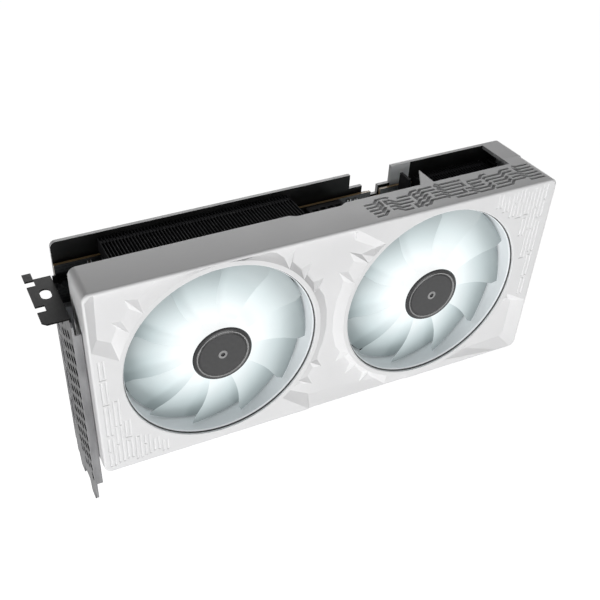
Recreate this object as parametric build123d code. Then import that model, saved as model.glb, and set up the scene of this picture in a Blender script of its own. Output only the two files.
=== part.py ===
from build123d import *
import math
import os

# Two-fan graphics card, built the way it comes apart on a bench. All sizes are millimetres.
# Frame: +X runs along the card away from the I/O bracket, +Y from the fans towards the
# backplate, +Z from the slot edge up to the edge with the power socket. The origin is the
# slot datum: key notch centre line, middle of the board's thickness, bottom of the tongue.

# ---------------------------------------------------------------- driving dimensions
FIT = 0.05                 # radial clearance of a screw or shaft in its hole
SEAT = 0.02                # clearance of faces that are pressed or soldered together

# circuit board and its slot edge
BOARD_T = 1.57
BOARD_X0 = -54.8
BOARD_LENGTH = 189.8
BOARD_TOP = 119.5
TONGUE_HEIGHT = 8.25
TONGUE_SHORT = 11.65
TONGUE_LONG = 71.65
KEY_WIDTH = 1.9
KEY_DEPTH = 7.9
TONGUE_BEVEL = 0.5
HOOK_GAP = 2.0
HOOK_WIDTH = 4.4
HOOK_NECK = 3.0
HOOK_BOTTOM = 1.5
HOOK_TOE_TOP = 4.0
BOARD_NOTCH_X = (110.4, 116.2)
BOARD_NOTCH_Z = 115.6
CONTACT_PITCH = 1.0
CONTACT_WIDTH = 0.7
CONTACT_T = 0.05
CONTACT_Z = (0.9, 6.4)
CONTACTS_SHORT = 11
CONTACTS_LONG = 71

# I/O bracket, two slots wide
BRACKET_X = -57.15
BRACKET_T = 0.86
BRACKET_Y_REAR = 3.45
BRACKET_WIDTH = 38.74
TAB_SEAT_Z = 111.15
BRACKET_LENGTH = 120.02
FACE_LENGTH = 112.75
TAB_DEPTH = 11.43
TAB_SPAN = 35.2
TAB_EAR_REACH = 5.4
TAB_EAR_DEPTH = 4.2
TAB_CHAMFER = 2.0
SLOT_PITCH = 20.32
NOTCH_WIDTH = 4.42
NOTCH_Y = 0.35
TAB_HOLE_SIZE = (5.0, 8.0)
TAB_HOLE_OFFSET = 4.6
TONGUE_TIP_WIDTH = 6.0
TONGUE_ROOT_WIDTH = 10.19
TONGUE_Y = -5.75
BRACKET_EDGE_NOTCH = (1.5, 8.0)
FLANGE_WIDTH = 3.0
FLANGE_DROP = (5.5, 102.7)
VENT_RADIUS = 2.5
VENT_PITCH_Z = 7.0
VENT_PITCH_Y = 6.06
VENT_COLUMNS = 4
VENT_Z = (9.0, 106.0)
VENT_Y0 = -31.2
VENT_HEX_TURN = 30.0
LUG_SIZE = 8.0
LUG_REACH = 9.0
LUG_Z = (15.5, 110.5)
LUG_COLLAR_R = 2.6
LUG_COLLAR_T = 1.6

# display sockets
PORT_Z = (34.0, 53.5, 73.0, 92.5)
PORT_PROUD = 0.3
PORT_DEPTH = 20.0
PORT_WALL = 0.4
PORT_INNER = (16.1, 4.76)
PORT_CORNER = 2.0
HDMI_INNER = (14.0, 4.55)
HDMI_CORNER = (2.2, 1.6)
PORT_WINDOW_GAP = 0.3
PORT_BLOCK_DEPTH = 8.0
PORT_BLOCK_WIDTH = 17.6
PORT_BLOCK_HEIGHT = 7.4
PORT_BLADE_REACH = 8.0
PORT_BLADE_T = 1.6
PORT_BLADE_INSET = 2.0

# front shroud
SHROUD_X0 = -52.85
SHROUD_LENGTH = 245.0
SHROUD_Z0 = 21.75
SHROUD_HEIGHT = 108.0
SHROUD_FRONT_Y = -42.5
SHROUD_DEPTH = 22.3
SHROUD_END_DEPTH = 28.1
SHROUD_WALL = 1.8
SHROUD_FACE_T = 2.2
SHROUD_EDGE_R = 1.2
SHROUD_CORNER_R = 4.0
TOP_NOTCH_X = (57.0, 80.5)
TOP_NOTCH_DEPTH = 1.8
TOP_NOTCH_SLOPE = 3.3
END_BAR_WIDTH = 12.6
POST_R = 3.2
POST_PILOT_DEPTH = 7.0
BOARD_POSTS = ((-28.0, 29.0), (-43.0, 113.4), (67.0, 27.0))
BOARD_STANDOFFS = ((129.0, 29.0), (129.0, 108.0))
BOARD_STANDOFF_LENGTH = 4.5
END_POST_INSET = 6.6
END_POST_Z_INSET = (10.0, 10.0)

# backplate
BACKPLATE_GAP = 1.415
BACKPLATE_T = 2.0
BACKPLATE_LEFT_LAP = 1.8
BACKPLATE_Z0 = 12.0
BACKPLATE_CORNER_R = 3.0
BACKPLATE_SEAM = 0.15
BACKPLATE_CUT_X = (99.2, 106.7, 110.4, 116.2, 123.2)
BACKPLATE_CUT_DROP = (7.5, 12.3, 14.0, 9.4)
BACKPLATE_WINDOW = 64.0
BACKPLATE_PAD_SIZE = (12.0, 14.0)
GRILLE_SLOTS = 7
GRILLE_SLOT_WIDTH = 4.6
GRILLE_PITCH = 11.0
GRILLE_Z0 = 34.0
GRILLE_LENGTH = 34.0
GRILLE_TILT = 25.0
BOSS_R = 3.2

# fans
FAN_OPENING_R = 49.2
FAN_LIP_T = 1.3
FAN_LIP_DEPTH = 5.2
FAN_LEFT_INSET = 63.2
FAN_RIGHT_INSET = 65.4
FAN_HEIGHT = 55.0
FAN_TIP_GAP = 1.7
FAN_BLADES = 11
FAN_BLADE_T = 1.2
FAN_BLADE_SETBACK = 3.4
FAN_ROOT_CHORD = 12.5
FAN_TIP_CHORD = 29.0
FAN_ROOT_PITCH = 48.0
FAN_TIP_PITCH = 24.5
FAN_TIP_SWEEP = 16.0
FAN_BLADE_OVERRUN = 1.5
HUB_R = 15.25
HUB_WALL = 1.6
HUB_FACE_T = 1.5
HUB_SETBACK = 0.3
HUB_DEPTH = 14.4
HUB_CAP_R = 12.6
HUB_CAP_T = 0.5
MAGNET_T = 1.7
MAGNET_LENGTH = 8.0
MAGNET_INSET = 0.6
SHAFT_R = 1.0
BEARING_R = 2.5
BEARING_LENGTH = 9.0
TUBE_WALL = 1.1
STATOR_R = 10.6
STATOR_T = 6.0
STATOR_TEETH = 6
FAN_BOARD_R = 13.0
FAN_BOARD_T = 1.0
LED_COUNT = 6
LED_SIZE = 1.6
FRAME_T = 2.0
FRAME_DISC_R = 15.6
STRUT_WIDTH = 4.5
LUG_OFFSET = (43.0, 40.0)
FAN_LUG_R = 4.0
FAN_POST_R = 3.0

# cooler
DIE_SIZE = 17.0
DIE_T = 0.75
SUBSTRATE_SIZE = 34.0
SUBSTRATE_T = 1.1
GPU_X = 40.0
GPU_Z = 62.0
MEMORY_SIZE = (12.0, 14.0)
MEMORY_T = 1.2
MEMORY_COLUMN = 26.5
MEMORY_PITCH = 16.0
MEMORY_TOP_ROW = 27.0
MEMORY_TOP_OFFSET = 8.0
COLD_PLATE_T = 3.0
COLD_PLATE_MARGIN = 1.5
RETENTION_HALF = 27.5
RETENTION_T = 1.2
RETENTION_ARM = 8.0
RETENTION_CORE = 22.0
FILM_T = 0.8
STANDOFF_R = 2.6
STANDOFF_INSET_X = 21.5
PIPE_WIDTH = 8.4
PIPE_T = 5.0
PIPE_COUNT = 4
PIPE_PITCH = 11.5
PIPE_EDGE_R = 2.2
PIPE_OVERHANG = 3.4
FIN_T = 0.4
FIN_PITCH = 1.6
FIN_FRONT_GAP = 1.0
FIN_WALL_GAP = 0.6
FIN_LEFT_X = (-33.0, 63.8)
FIN_MIDDLE_X = (70.2, 134.0)
FIN_RIGHT_X0 = 136.6
FIN_RIGHT_END_INSET = 12.8
FIN_MIDDLE_TOP = 95.5
FIN_RIGHT_DROP = 5.5
FIN_BOARD_GAP = 1.0
FIN_PLATE_GAP = 0.7
FIN_STRIP_WIDTH = 3.2
FIN_STRIP_INSET = 14.0

# board components
STAGE_SIZE = (5.0, 6.0)
STAGE_T = 0.9
STAGE_PAD_T = 0.6
STAGE_COUNT = 8
STAGE_X = 96.0
STAGE_PITCH = 8.6
STAGE_Z0 = 27.0
VRM_PLATE_WIDTH = 8.0
INDUCTOR_SIZE = 6.6
INDUCTOR_T = 4.0
INDUCTOR_OFFSET = 9.5
CAPACITOR_R = 3.1
CAPACITOR_LENGTH = 6.4
CAPACITOR_BASE_T = 0.6
CAPACITOR_SPOTS = (
    (112.5, 26.0), (120.0, 26.0), (112.5, 92.0), (120.0, 92.0), (-18.0, 100.0), (-26.0, 100.0),
)
POWER_X0 = 73.0
POWER_SIZE = (19.6, 13.2, 21.0)
POWER_STANDOFF = 0.4
POWER_DROP = 0.5
POWER_COLUMNS = 4
POWER_ROWS = 2
POWER_PITCH = 4.2
POWER_CAVITY = 3.4
POWER_CAVITY_DEPTH = 14.0
POWER_PIN = 1.1
POWER_PIN_LENGTH = 10.0
LATCH_SIZE = (4.0, 1.4, 5.0)
HEADER_SIZE = (5.4, 5.0, 6.0)
HEADER_X = 67.0
HEADER_Z = (108.0, 115.2)
CABLE_R = 1.0
CABLE_BEND_R = 4.6
CABLE_OFFSET = 1.6

# fasteners
SCREW_R = 1.25
SCREW_HEAD_R = 2.4
SCREW_HEAD_T = 1.2
BRACKET_SCREW_R = 1.5
BRACKET_SCREW_HEAD_R = 2.7
POST_TIP_GAP = 1.0
STANDOFF_TIP_GAP = 0.5

# shares of the size that each one is multiplied with
DRIVE_SHARE = (0.45, 0.55)            # hexagon over the head's radius, depth over its thickness
CONTACT_KEY_SHARE = 0.55              # first contact beside the key, over the pitch
CAPACITOR_RIM_SHARE = 0.2
INDUCTOR_CORNER_SHARE = 0.09
POWER_CORNER_SHARE = 0.15
HEADER_CORNER_SHARE = 0.1
PORT_SMALL_CORNER_SHARE = 0.2
PORT_BLADE_ROUND_SHARE = 0.4
VENT_START_SHARE = 0.25
STANDOFF_BORE_SHARE = 0.6
RETENTION_TIP_SHARE = 0.5
PIPE_END_SHARE = 0.45
FILM_CORE_SHARE = 0.8
PAD_RISE_SHARE = 0.2
HUB_RIM_SHARE = 0.5
HUB_CAP_GROOVE_SHARE = (0.62, 0.56)   # outer and inner radius of the groove, over the cap's
HUB_CAP_DEPTH_SHARE = 0.4
SHAFT_BEVEL_SHARE = 0.3
BLADE_MIDDLE_SWEEP_SHARE = 0.35
STATOR_CORE_SHARE = 0.55
TOOTH_PLACE_SHARE = 0.7
TOOTH_SHARE = (0.4, 0.8, 0.28)        # along the radius, along the axis, across
SHOE_PLACE_SHARE = 0.9
SHOE_SHARE = (0.12, 1.0, 0.62)

# ---------------------------------------------------------------- derived places
BOARD_FRONT = -BOARD_T / 2
BOARD_REAR = BOARD_T / 2
BOARD_X1 = BOARD_X0 + BOARD_LENGTH
SHROUD_X1 = SHROUD_X0 + SHROUD_LENGTH
SHROUD_Z1 = SHROUD_Z0 + SHROUD_HEIGHT
SHROUD_REAR_Y = SHROUD_FRONT_Y + SHROUD_DEPTH
SHROUD_END_Y = SHROUD_FRONT_Y + SHROUD_END_DEPTH
BACKPLATE_Y0 = BOARD_REAR + BACKPLATE_GAP
BACKPLATE_Y1 = BACKPLATE_Y0 + BACKPLATE_T
FAN_Z = SHROUD_Z0 + FAN_HEIGHT
FAN_TIP_R = FAN_OPENING_R - FAN_TIP_GAP
FANS = {"left": SHROUD_X0 + FAN_LEFT_INSET, "right": SHROUD_X1 - FAN_RIGHT_INSET}
HUB_FRONT = SHROUD_FRONT_Y + HUB_SETBACK
HUB_REAR = HUB_FRONT + HUB_DEPTH
FRAME_REAR = HUB_REAR + FAN_BOARD_T + FRAME_T + 2 * HUB_SETBACK
FRAME_FRONT = FRAME_REAR - FRAME_T
FIN_FRONT = FRAME_REAR + FIN_FRONT_GAP
DIE_FRONT = BOARD_FRONT - SUBSTRATE_T - DIE_T
PLATE_REAR = DIE_FRONT - SEAT
PLATE_FRONT = PLATE_REAR - COLD_PLATE_T
PIPE_REAR = PLATE_FRONT - SEAT
PIPE_FRONT = PIPE_REAR - PIPE_T
FIN_REAR = PIPE_FRONT - SEAT
FIN_RIGHT_X = (FIN_RIGHT_X0, SHROUD_X1 - FIN_RIGHT_END_INSET)
FIN_BOTTOM = SHROUD_Z0 + SHROUD_WALL + FIN_WALL_GAP
FIN_TOP = SHROUD_Z1 - SHROUD_WALL - FIN_WALL_GAP
PIPE_ZS = [GPU_Z + (i - (PIPE_COUNT - 1) / 2) * PIPE_PITCH for i in range(PIPE_COUNT)]
FAN_LUGS = [(sx * LUG_OFFSET[0], sz * LUG_OFFSET[1]) for sx in (-1, 1) for sz in (-1, 1)]
BOARD_SCREWS = BOARD_POSTS + BOARD_STANDOFFS
END_POSTS = [
    (SHROUD_X1 - END_POST_INSET, SHROUD_Z0 + END_POST_Z_INSET[0]),
    (SHROUD_X1 - END_POST_INSET, SHROUD_Z1 - END_POST_Z_INSET[1]),
]
RETENTION_BOLTS = [
    (GPU_X + sx * STANDOFF_INSET_X, GPU_Z + sz * RETENTION_HALF) for sx in (-1, 1) for sz in (-1, 1)
]
PORT_Y = BOARD_FRONT - PORT_BLOCK_HEIGHT / 2
STAGES = [(STAGE_X, STAGE_Z0 + i * STAGE_PITCH) for i in range(STAGE_COUNT)]
STAGE_FRONT = BOARD_FRONT - STAGE_T
MEMORY_FRONT = BOARD_FRONT - MEMORY_T


# ---------------------------------------------------------------- helpers
def block(x, y, z):
    """Box between two coordinates on each axis."""
    size = (x[1] - x[0], y[1] - y[0], z[1] - z[0])
    middle = ((x[0] + x[1]) / 2, (y[0] + y[1]) / 2, (z[0] + z[1]) / 2)
    return Pos(*middle) * Box(*size)


def rod(x, z, radius, y0, y1):
    """Cylinder along Y."""
    place = Pos(x, (y0 + y1) / 2, z) * Rot(90, 0, 0)
    return place * Cylinder(radius, y1 - y0)


def ring(x, z, outer, inner, y0, y1):
    """Tube along Y."""
    return rod(x, z, outer, y0, y1) - rod(x, z, inner, y0 - 1, y1 + 1)


def plate_xz(points, y0, y1):
    """Flat plate with a straight-sided outline of (x, z) points."""
    outline = Polyline(*[(x, y0, z) for x, z in points], close=True)
    return extrude(make_face(outline), amount=y1 - y0, dir=(0, 1, 0))


def plate_xy(points, z0, z1):
    """Flat plate with a straight-sided outline of (x, y) points."""
    outline = Polyline(*[(x, y, z0) for x, y in points], close=True)
    return extrude(make_face(outline), amount=z1 - z0, dir=(0, 0, 1))


def plate_yz(points, x0, x1):
    """Flat plate with a straight-sided outline of (y, z) points."""
    outline = Polyline(*[(x0, y, z) for y, z in points], close=True)
    return extrude(make_face(outline), amount=x1 - x0, dir=(1, 0, 0))


def screw(x, z, head_y, tip_y, radius, head_r, head_t):
    """Pan-head screw along Y: the head's rear face is at head_y, the tip at tip_y."""
    under_head = head_y - head_t
    head = rod(x, z, head_r, under_head, head_y)
    socket = RegularPolygon(head_r * DRIVE_SHARE[0], 6)
    drive = Pos(x, head_y, z) * Rot(90, 0, 0) * extrude(socket, amount=head_t * DRIVE_SHARE[1])
    return head - drive + rod(x, z, radius, tip_y, under_head)


def write(name, *solids):
    """One STEP file for one node."""
    flat = []
    for shape in solids:
        flat.extend(shape.solids())
    shape = flat[0] if len(flat) == 1 else Compound(children=flat)
    shape.label = name
    export_step(shape, f"parts/{name}.step")


# ---------------------------------------------------------------- board
def make_board():
    key = KEY_WIDTH / 2
    left = -key - TONGUE_SHORT
    right = key + TONGUE_LONG
    hook0 = right + HOOK_GAP
    hook1 = hook0 + HOOK_WIDTH
    outline = [
        (BOARD_X0, TONGUE_HEIGHT), (left, TONGUE_HEIGHT), (left, 0), (-key, 0), (-key, KEY_DEPTH),
        (key, KEY_DEPTH), (key, 0), (right, 0), (right, TONGUE_HEIGHT), (hook1 - HOOK_NECK, TONGUE_HEIGHT),
        (hook1 - HOOK_NECK, HOOK_TOE_TOP), (hook0, HOOK_TOE_TOP), (hook0, HOOK_BOTTOM),
        (hook1, HOOK_BOTTOM), (hook1, TONGUE_HEIGHT), (BOARD_X1, TONGUE_HEIGHT), (BOARD_X1, BOARD_TOP),
        (BOARD_NOTCH_X[1], BOARD_TOP), (BOARD_NOTCH_X[1], BOARD_NOTCH_Z),
        (BOARD_NOTCH_X[0], BOARD_NOTCH_Z), (BOARD_NOTCH_X[0], BOARD_TOP), (BOARD_X0, BOARD_TOP),
    ]
    board = plate_xz(outline, BOARD_FRONT, BOARD_REAR)
    bevelled = [e for e in board.edges().filter_by(Axis.X) if abs(e.center().Z) < SEAT]
    board = chamfer(bevelled, TONGUE_BEVEL)
    for x, z in BOARD_SCREWS:
        board -= rod(x, z, SCREW_R + FIT, BOARD_FRONT - 1, BOARD_REAR + 1)
    for x, z in RETENTION_BOLTS:
        board -= rod(x, z, SCREW_R + FIT, BOARD_FRONT - 1, BOARD_REAR + 1)
    for z in LUG_Z:
        board -= rod(lug_x(), z, BRACKET_SCREW_R + FIT, BOARD_FRONT - 1, BOARD_REAR + 1)
    return board


def make_contacts():
    pads = []
    first = KEY_WIDTH / 2 + CONTACT_PITCH * CONTACT_KEY_SHARE
    places = [-first - i * CONTACT_PITCH for i in range(CONTACTS_SHORT)]
    places += [first + i * CONTACT_PITCH for i in range(CONTACTS_LONG)]
    for x in places:
        across = (x - CONTACT_WIDTH / 2, x + CONTACT_WIDTH / 2)
        pads.append(block(across, (BOARD_FRONT - CONTACT_T, BOARD_FRONT), CONTACT_Z))
        pads.append(block(across, (BOARD_REAR, BOARD_REAR + CONTACT_T), CONTACT_Z))
    return pads


def square_stack(x, z, size_x, size_z, y0, y1):
    """Rectangular chip or pad centred on (x, z)."""
    return block((x - size_x / 2, x + size_x / 2), (y0, y1), (z - size_z / 2, z + size_z / 2))


def memory_spots():
    spots = []
    for side in (-1, 1):
        for row in (-1, 0, 1):
            spots.append((GPU_X + side * MEMORY_COLUMN, GPU_Z + row * MEMORY_PITCH))
        spots.append((GPU_X + side * MEMORY_TOP_OFFSET, GPU_Z + MEMORY_TOP_ROW))
    return spots


def make_capacitors():
    cans = []
    width = 2 * CAPACITOR_R
    foot_y = BOARD_FRONT - CAPACITOR_BASE_T
    for x, z in CAPACITOR_SPOTS:
        foot = square_stack(x, z, width, width, foot_y, BOARD_FRONT)
        can = rod(x, z, CAPACITOR_R, BOARD_FRONT - CAPACITOR_LENGTH, foot_y)
        rim = can.faces().sort_by(Axis.Y)[0].edges()
        cans.append(foot + fillet(rim, CAPACITOR_R * CAPACITOR_RIM_SHARE))
    return cans


def make_inductors():
    coils = []
    front = BOARD_FRONT - INDUCTOR_T
    for stage_x, z in STAGES:
        x = stage_x + INDUCTOR_OFFSET
        core = square_stack(x, z, INDUCTOR_SIZE, INDUCTOR_SIZE, front, BOARD_FRONT)
        coils.append(chamfer(core.edges().filter_by(Axis.Y), INDUCTOR_SIZE * INDUCTOR_CORNER_SHARE))
    return coils


# ---------------------------------------------------------------- power socket
def power_box():
    rear = BOARD_FRONT - POWER_STANDOFF
    top = BOARD_TOP - POWER_DROP
    x = (POWER_X0, POWER_X0 + POWER_SIZE[0])
    return x, (rear - POWER_SIZE[1], rear), (top - POWER_SIZE[2], top)


def power_cells():
    box = power_box()
    middle_x = sum(box[0]) / 2
    middle_y = sum(box[1]) / 2
    cells = []
    for column in range(POWER_COLUMNS):
        for row in range(POWER_ROWS):
            cell_x = middle_x + (column - (POWER_COLUMNS - 1) / 2) * POWER_PITCH
            cell_y = middle_y + (row - (POWER_ROWS - 1) / 2) * POWER_PITCH
            cells.append((cell_x, cell_y))
    return cells


def make_power_connector():
    x, y, z = power_box()
    body = block(x, y, z)
    body = chamfer(body.edges().filter_by(Axis.Z), POWER_PITCH * POWER_CORNER_SHARE)
    half = POWER_CAVITY / 2
    for cell_x, cell_y in power_cells():
        body -= block((cell_x - half, cell_x + half), (cell_y - half, cell_y + half),
                      (z[1] - POWER_CAVITY_DEPTH, z[1] + 1))
        body -= pin_shape(cell_x, cell_y, FIT)
    middle_x = sum(x) / 2
    latch = block((middle_x - LATCH_SIZE[0] / 2, middle_x + LATCH_SIZE[0] / 2),
                  (y[0] - LATCH_SIZE[1], y[0]), (z[1] - LATCH_SIZE[2], z[1] - LATCH_SIZE[2] / 2))
    foot = block((x[0] + POWER_PITCH, x[1] - POWER_PITCH), (y[1], BOARD_FRONT),
                 (z[0] + POWER_PITCH, z[1] - POWER_PITCH))
    return body + latch + foot


def pin_shape(cell_x, cell_y, grow):
    """Bent terminal: blade up the cavity, tail back to the board; grow widens it for its hole."""
    bottom, top = power_box()[2]
    half = POWER_PIN / 2 + grow
    row = round((cell_y - power_cells()[0][1]) / POWER_PITCH)
    tail_z = bottom - POWER_PIN * (1 + 2 * (POWER_ROWS - 1 - row))
    blade_top = top - POWER_CAVITY_DEPTH + POWER_PIN_LENGTH + grow
    across = (cell_x - half, cell_x + half)
    blade = block(across, (cell_y - half, cell_y + half), (tail_z - half, blade_top))
    tail = block(across, (cell_y - half, BOARD_FRONT), (tail_z - half, tail_z + half))
    return blade + tail


# ---------------------------------------------------------------- display sockets and bracket
def port_outline(inner, grow, corners):
    """Mouth outline as (y, z) points about the socket's centre, grown outwards."""
    half_z = inner[0] / 2 + grow
    half_y = inner[1] / 2 + grow
    cut_a, cut_b = corners
    return [
        (-half_y, -half_z), (half_y - cut_a, -half_z), (half_y, -half_z + cut_a),
        (half_y, half_z - cut_b), (half_y - cut_b, half_z), (-half_y, half_z),
    ]


def port_prism(index, grow, x0, x1):
    last = len(PORT_Z) - 1
    inner = HDMI_INNER if index == last else PORT_INNER
    corners = HDMI_CORNER if index == last else (PORT_CORNER, PORT_CORNER * PORT_SMALL_CORNER_SHARE)
    points = port_outline(inner, grow, corners)
    return plate_yz([(PORT_Y + y, PORT_Z[index] + z) for y, z in points], x0, x1)


def make_port_shell(index):
    x0 = BRACKET_X - PORT_PROUD
    x1 = x0 + PORT_DEPTH
    return port_prism(index, PORT_WALL, x0, x1) - port_prism(index, 0, x0 - 1, x1 + 1)


def make_port_insulators():
    blocks = []
    shell_end = BRACKET_X - PORT_PROUD + PORT_DEPTH
    for index, z in enumerate(PORT_Z):
        core = port_prism(index, -SEAT, shell_end - PORT_BLOCK_DEPTH, shell_end)
        cheek = block((shell_end - PORT_BLOCK_DEPTH, shell_end + PORT_WALL),
                      (BOARD_FRONT - PORT_BLOCK_HEIGHT, BOARD_FRONT),
                      (z - PORT_BLOCK_WIDTH / 2 - PORT_WALL, z + PORT_BLOCK_WIDTH / 2 + PORT_WALL))
        cheek -= port_prism(index, PORT_WALL + SEAT, shell_end - PORT_BLOCK_DEPTH - 1, shell_end)
        blade = block((shell_end - PORT_BLOCK_DEPTH - PORT_BLADE_REACH, shell_end),
                      (PORT_Y - PORT_BLADE_T / 2, PORT_Y + PORT_BLADE_T / 2),
                      (z - PORT_INNER[0] / 2 + PORT_BLADE_INSET, z + PORT_INNER[0] / 2 - PORT_BLADE_INSET))
        tip_edges = blade.edges().filter_by(Axis.Y).sort_by(Axis.X)[:2]
        blade = fillet(tip_edges, PORT_BLADE_T * PORT_BLADE_ROUND_SHARE)
        blocks.append(core + blade)
        blocks.append(cheek)
    return blocks


def lug_x():
    return BRACKET_X + BRACKET_T + LUG_REACH - LUG_SIZE / 2


def tab_outline():
    bend = BRACKET_X + BRACKET_T
    outer = BRACKET_X - TAB_DEPTH
    neck = outer + TAB_EAR_DEPTH
    rear = BRACKET_Y_REAR
    front = rear - TAB_SPAN
    half = NOTCH_WIDTH / 2
    second = NOTCH_Y - SLOT_PITCH
    return [
        (bend, rear), (neck, rear), (neck, rear + TAB_EAR_REACH), (outer, rear + TAB_EAR_REACH),
        (outer, NOTCH_Y + half), (neck, NOTCH_Y + half), (neck, NOTCH_Y - half),
        (outer, NOTCH_Y - half), (outer, second + half), (neck, second + half),
        (neck, second - half), (outer, second - half), (outer, front + TAB_CHAMFER),
        (outer + TAB_CHAMFER, front), (bend, front),
    ]


def bracket_outline():
    """Face outline as (y, z) points: straight sides and two tapered tongues."""
    rear = BRACKET_Y_REAR
    front = rear - BRACKET_WIDTH
    top = TAB_SEAT_Z + BRACKET_T
    bottom = TAB_SEAT_Z - FACE_LENGTH
    tip = TAB_SEAT_Z - BRACKET_LENGTH
    points = [(rear, top), (front, top - FLANGE_DROP[0]), (front, bottom)]
    for index in (1, 0):
        centre = TONGUE_Y - index * SLOT_PITCH
        points += [
            (centre - TONGUE_ROOT_WIDTH / 2, bottom), (centre - TONGUE_TIP_WIDTH / 2, tip),
            (centre + TONGUE_TIP_WIDTH / 2, tip), (centre + TONGUE_ROOT_WIDTH / 2, bottom),
        ]
    points += [(rear, bottom)]
    return points[:1] + [(rear - TAB_SPAN, top)] + points[1:]


def make_bracket():
    inner = BRACKET_X + BRACKET_T
    bracket = plate_yz(bracket_outline(), BRACKET_X, inner)
    notch_depth, notch_height = BRACKET_EDGE_NOTCH
    rear_notch = block((BRACKET_X - 1, inner + 1), (BRACKET_Y_REAR - notch_depth, BRACKET_Y_REAR + 1),
                       (TAB_SEAT_Z - BRACKET_LENGTH - 1, TAB_SEAT_Z - FACE_LENGTH + notch_height))
    bracket -= rear_notch
    rows = int((VENT_Z[1] - VENT_Z[0]) / VENT_PITCH_Z)
    hexagon = RegularPolygon(VENT_RADIUS, 6, rotation=VENT_HEX_TURN)
    hole = extrude(hexagon, amount=3 * BRACKET_T)
    for column in range(VENT_COLUMNS):
        for row in range(rows):
            y = VENT_Y0 + column * VENT_PITCH_Y
            z = VENT_Z[0] + (row + (column % 2) / 2 + VENT_START_SHARE) * VENT_PITCH_Z
            bracket -= Pos(BRACKET_X - BRACKET_T, y, z) * Rot(0, 90, 0) * hole
    for index in range(len(PORT_Z)):
        bracket -= port_prism(index, PORT_WALL + PORT_WINDOW_GAP, BRACKET_X - 1, inner + 1)
    tab = plate_xy(tab_outline(), TAB_SEAT_Z, TAB_SEAT_Z + BRACKET_T)
    hole = SlotOverall(TAB_HOLE_SIZE[1], TAB_HOLE_SIZE[0], rotation=90)
    hole_y = NOTCH_Y - SLOT_PITCH / 2
    tab -= Pos(BRACKET_X - TAB_HOLE_OFFSET, hole_y, TAB_SEAT_Z - 1) * extrude(hole, amount=3)
    front = BRACKET_Y_REAR - BRACKET_WIDTH
    flange = block((inner, inner + FLANGE_WIDTH), (front, front + BRACKET_T),
                   (TAB_SEAT_Z - FLANGE_DROP[1], TAB_SEAT_Z - FLANGE_DROP[0] - 1))
    bracket = bracket + tab + flange
    for z in LUG_Z:
        lug = block((inner, inner + LUG_REACH), (BOARD_FRONT - BRACKET_T, BOARD_FRONT),
                    (z - LUG_SIZE / 2, z + LUG_SIZE / 2))
        lug += rod(lug_x(), z, LUG_COLLAR_R, BOARD_FRONT - BRACKET_T - LUG_COLLAR_T, BOARD_FRONT)
        bracket += lug - rod(lug_x(), z, BRACKET_SCREW_R + FIT, -LUG_REACH, 0)
    return bracket


def make_bracket_screws():
    head = BOARD_REAR + SCREW_HEAD_T
    tip = BOARD_FRONT - BRACKET_T - LUG_COLLAR_T
    return [
        screw(lug_x(), z, head, tip, BRACKET_SCREW_R, BRACKET_SCREW_HEAD_R, SCREW_HEAD_T) for z in LUG_Z
    ]


# ---------------------------------------------------------------- cooler
def cold_plate_range():
    half_x = MEMORY_COLUMN + MEMORY_SIZE[0] / 2 + COLD_PLATE_MARGIN
    low = GPU_Z - RETENTION_HALF - STANDOFF_R - COLD_PLATE_MARGIN
    high = GPU_Z + MEMORY_TOP_ROW + MEMORY_SIZE[1] / 2 + COLD_PLATE_MARGIN
    return (GPU_X - half_x, GPU_X + half_x), (low, high)


def make_cold_plate():
    x, z = cold_plate_range()
    plate = block(x, (PLATE_FRONT, PLATE_REAR), z)
    plate = chamfer(plate.edges().filter_by(Axis.Y), COLD_PLATE_MARGIN)
    for bolt_x, bolt_z in RETENTION_BOLTS:
        plate += rod(bolt_x, bolt_z, STANDOFF_R, PLATE_REAR, BOARD_FRONT - SEAT)
        plate -= rod(bolt_x, bolt_z, SCREW_R + FIT, PLATE_REAR - COLD_PLATE_T * STANDOFF_BORE_SHARE, 0)
    return plate


def make_pipe(z, grow=0.0):
    x0 = FIN_LEFT_X[0] - PIPE_OVERHANG
    x1 = FIN_RIGHT_X[1] + PIPE_OVERHANG
    pipe = block((x0, x1), (PIPE_FRONT - grow, PIPE_REAR + grow),
                 (z - PIPE_WIDTH / 2 - grow, z + PIPE_WIDTH / 2 + grow))
    pipe = fillet(pipe.edges().filter_by(Axis.X), PIPE_EDGE_R)
    if grow:
        return pipe
    return chamfer(pipe.faces().filter_by(Axis.X).edges(), PIPE_EDGE_R * PIPE_END_SHARE)


def fin_stack(x_range, outline, strips):
    """Row of equal plates across X, joined by the folded strips along their edges."""
    count = int((x_range[1] - x_range[0] - FIN_T) / FIN_PITCH) + 1
    places = [x_range[0] + i * FIN_PITCH for i in range(count)]
    fins = [plate_yz(outline, x, x + FIN_T) for x in places]
    along = (x_range[0], places[-1] + FIN_T)
    bars = [block(along, (y, y + FIN_T), (z, z + FIN_STRIP_WIDTH)) for y, z in strips]
    return bars[0].fuse(*(bars[1:] + fins))


def clear_posts(stack, spots):
    """Cut a slot, open at the fins' lower edge, round each post."""
    reach = POST_R + FIN_PLATE_GAP
    for x, z in spots:
        slot = block((x - reach, x + reach), (SHROUD_FRONT_Y, BACKPLATE_Y1), (FIN_BOTTOM - reach, z))
        stack = stack - (slot + rod(x, z, reach, SHROUD_FRONT_Y, BACKPLATE_Y1))
    return stack


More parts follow.
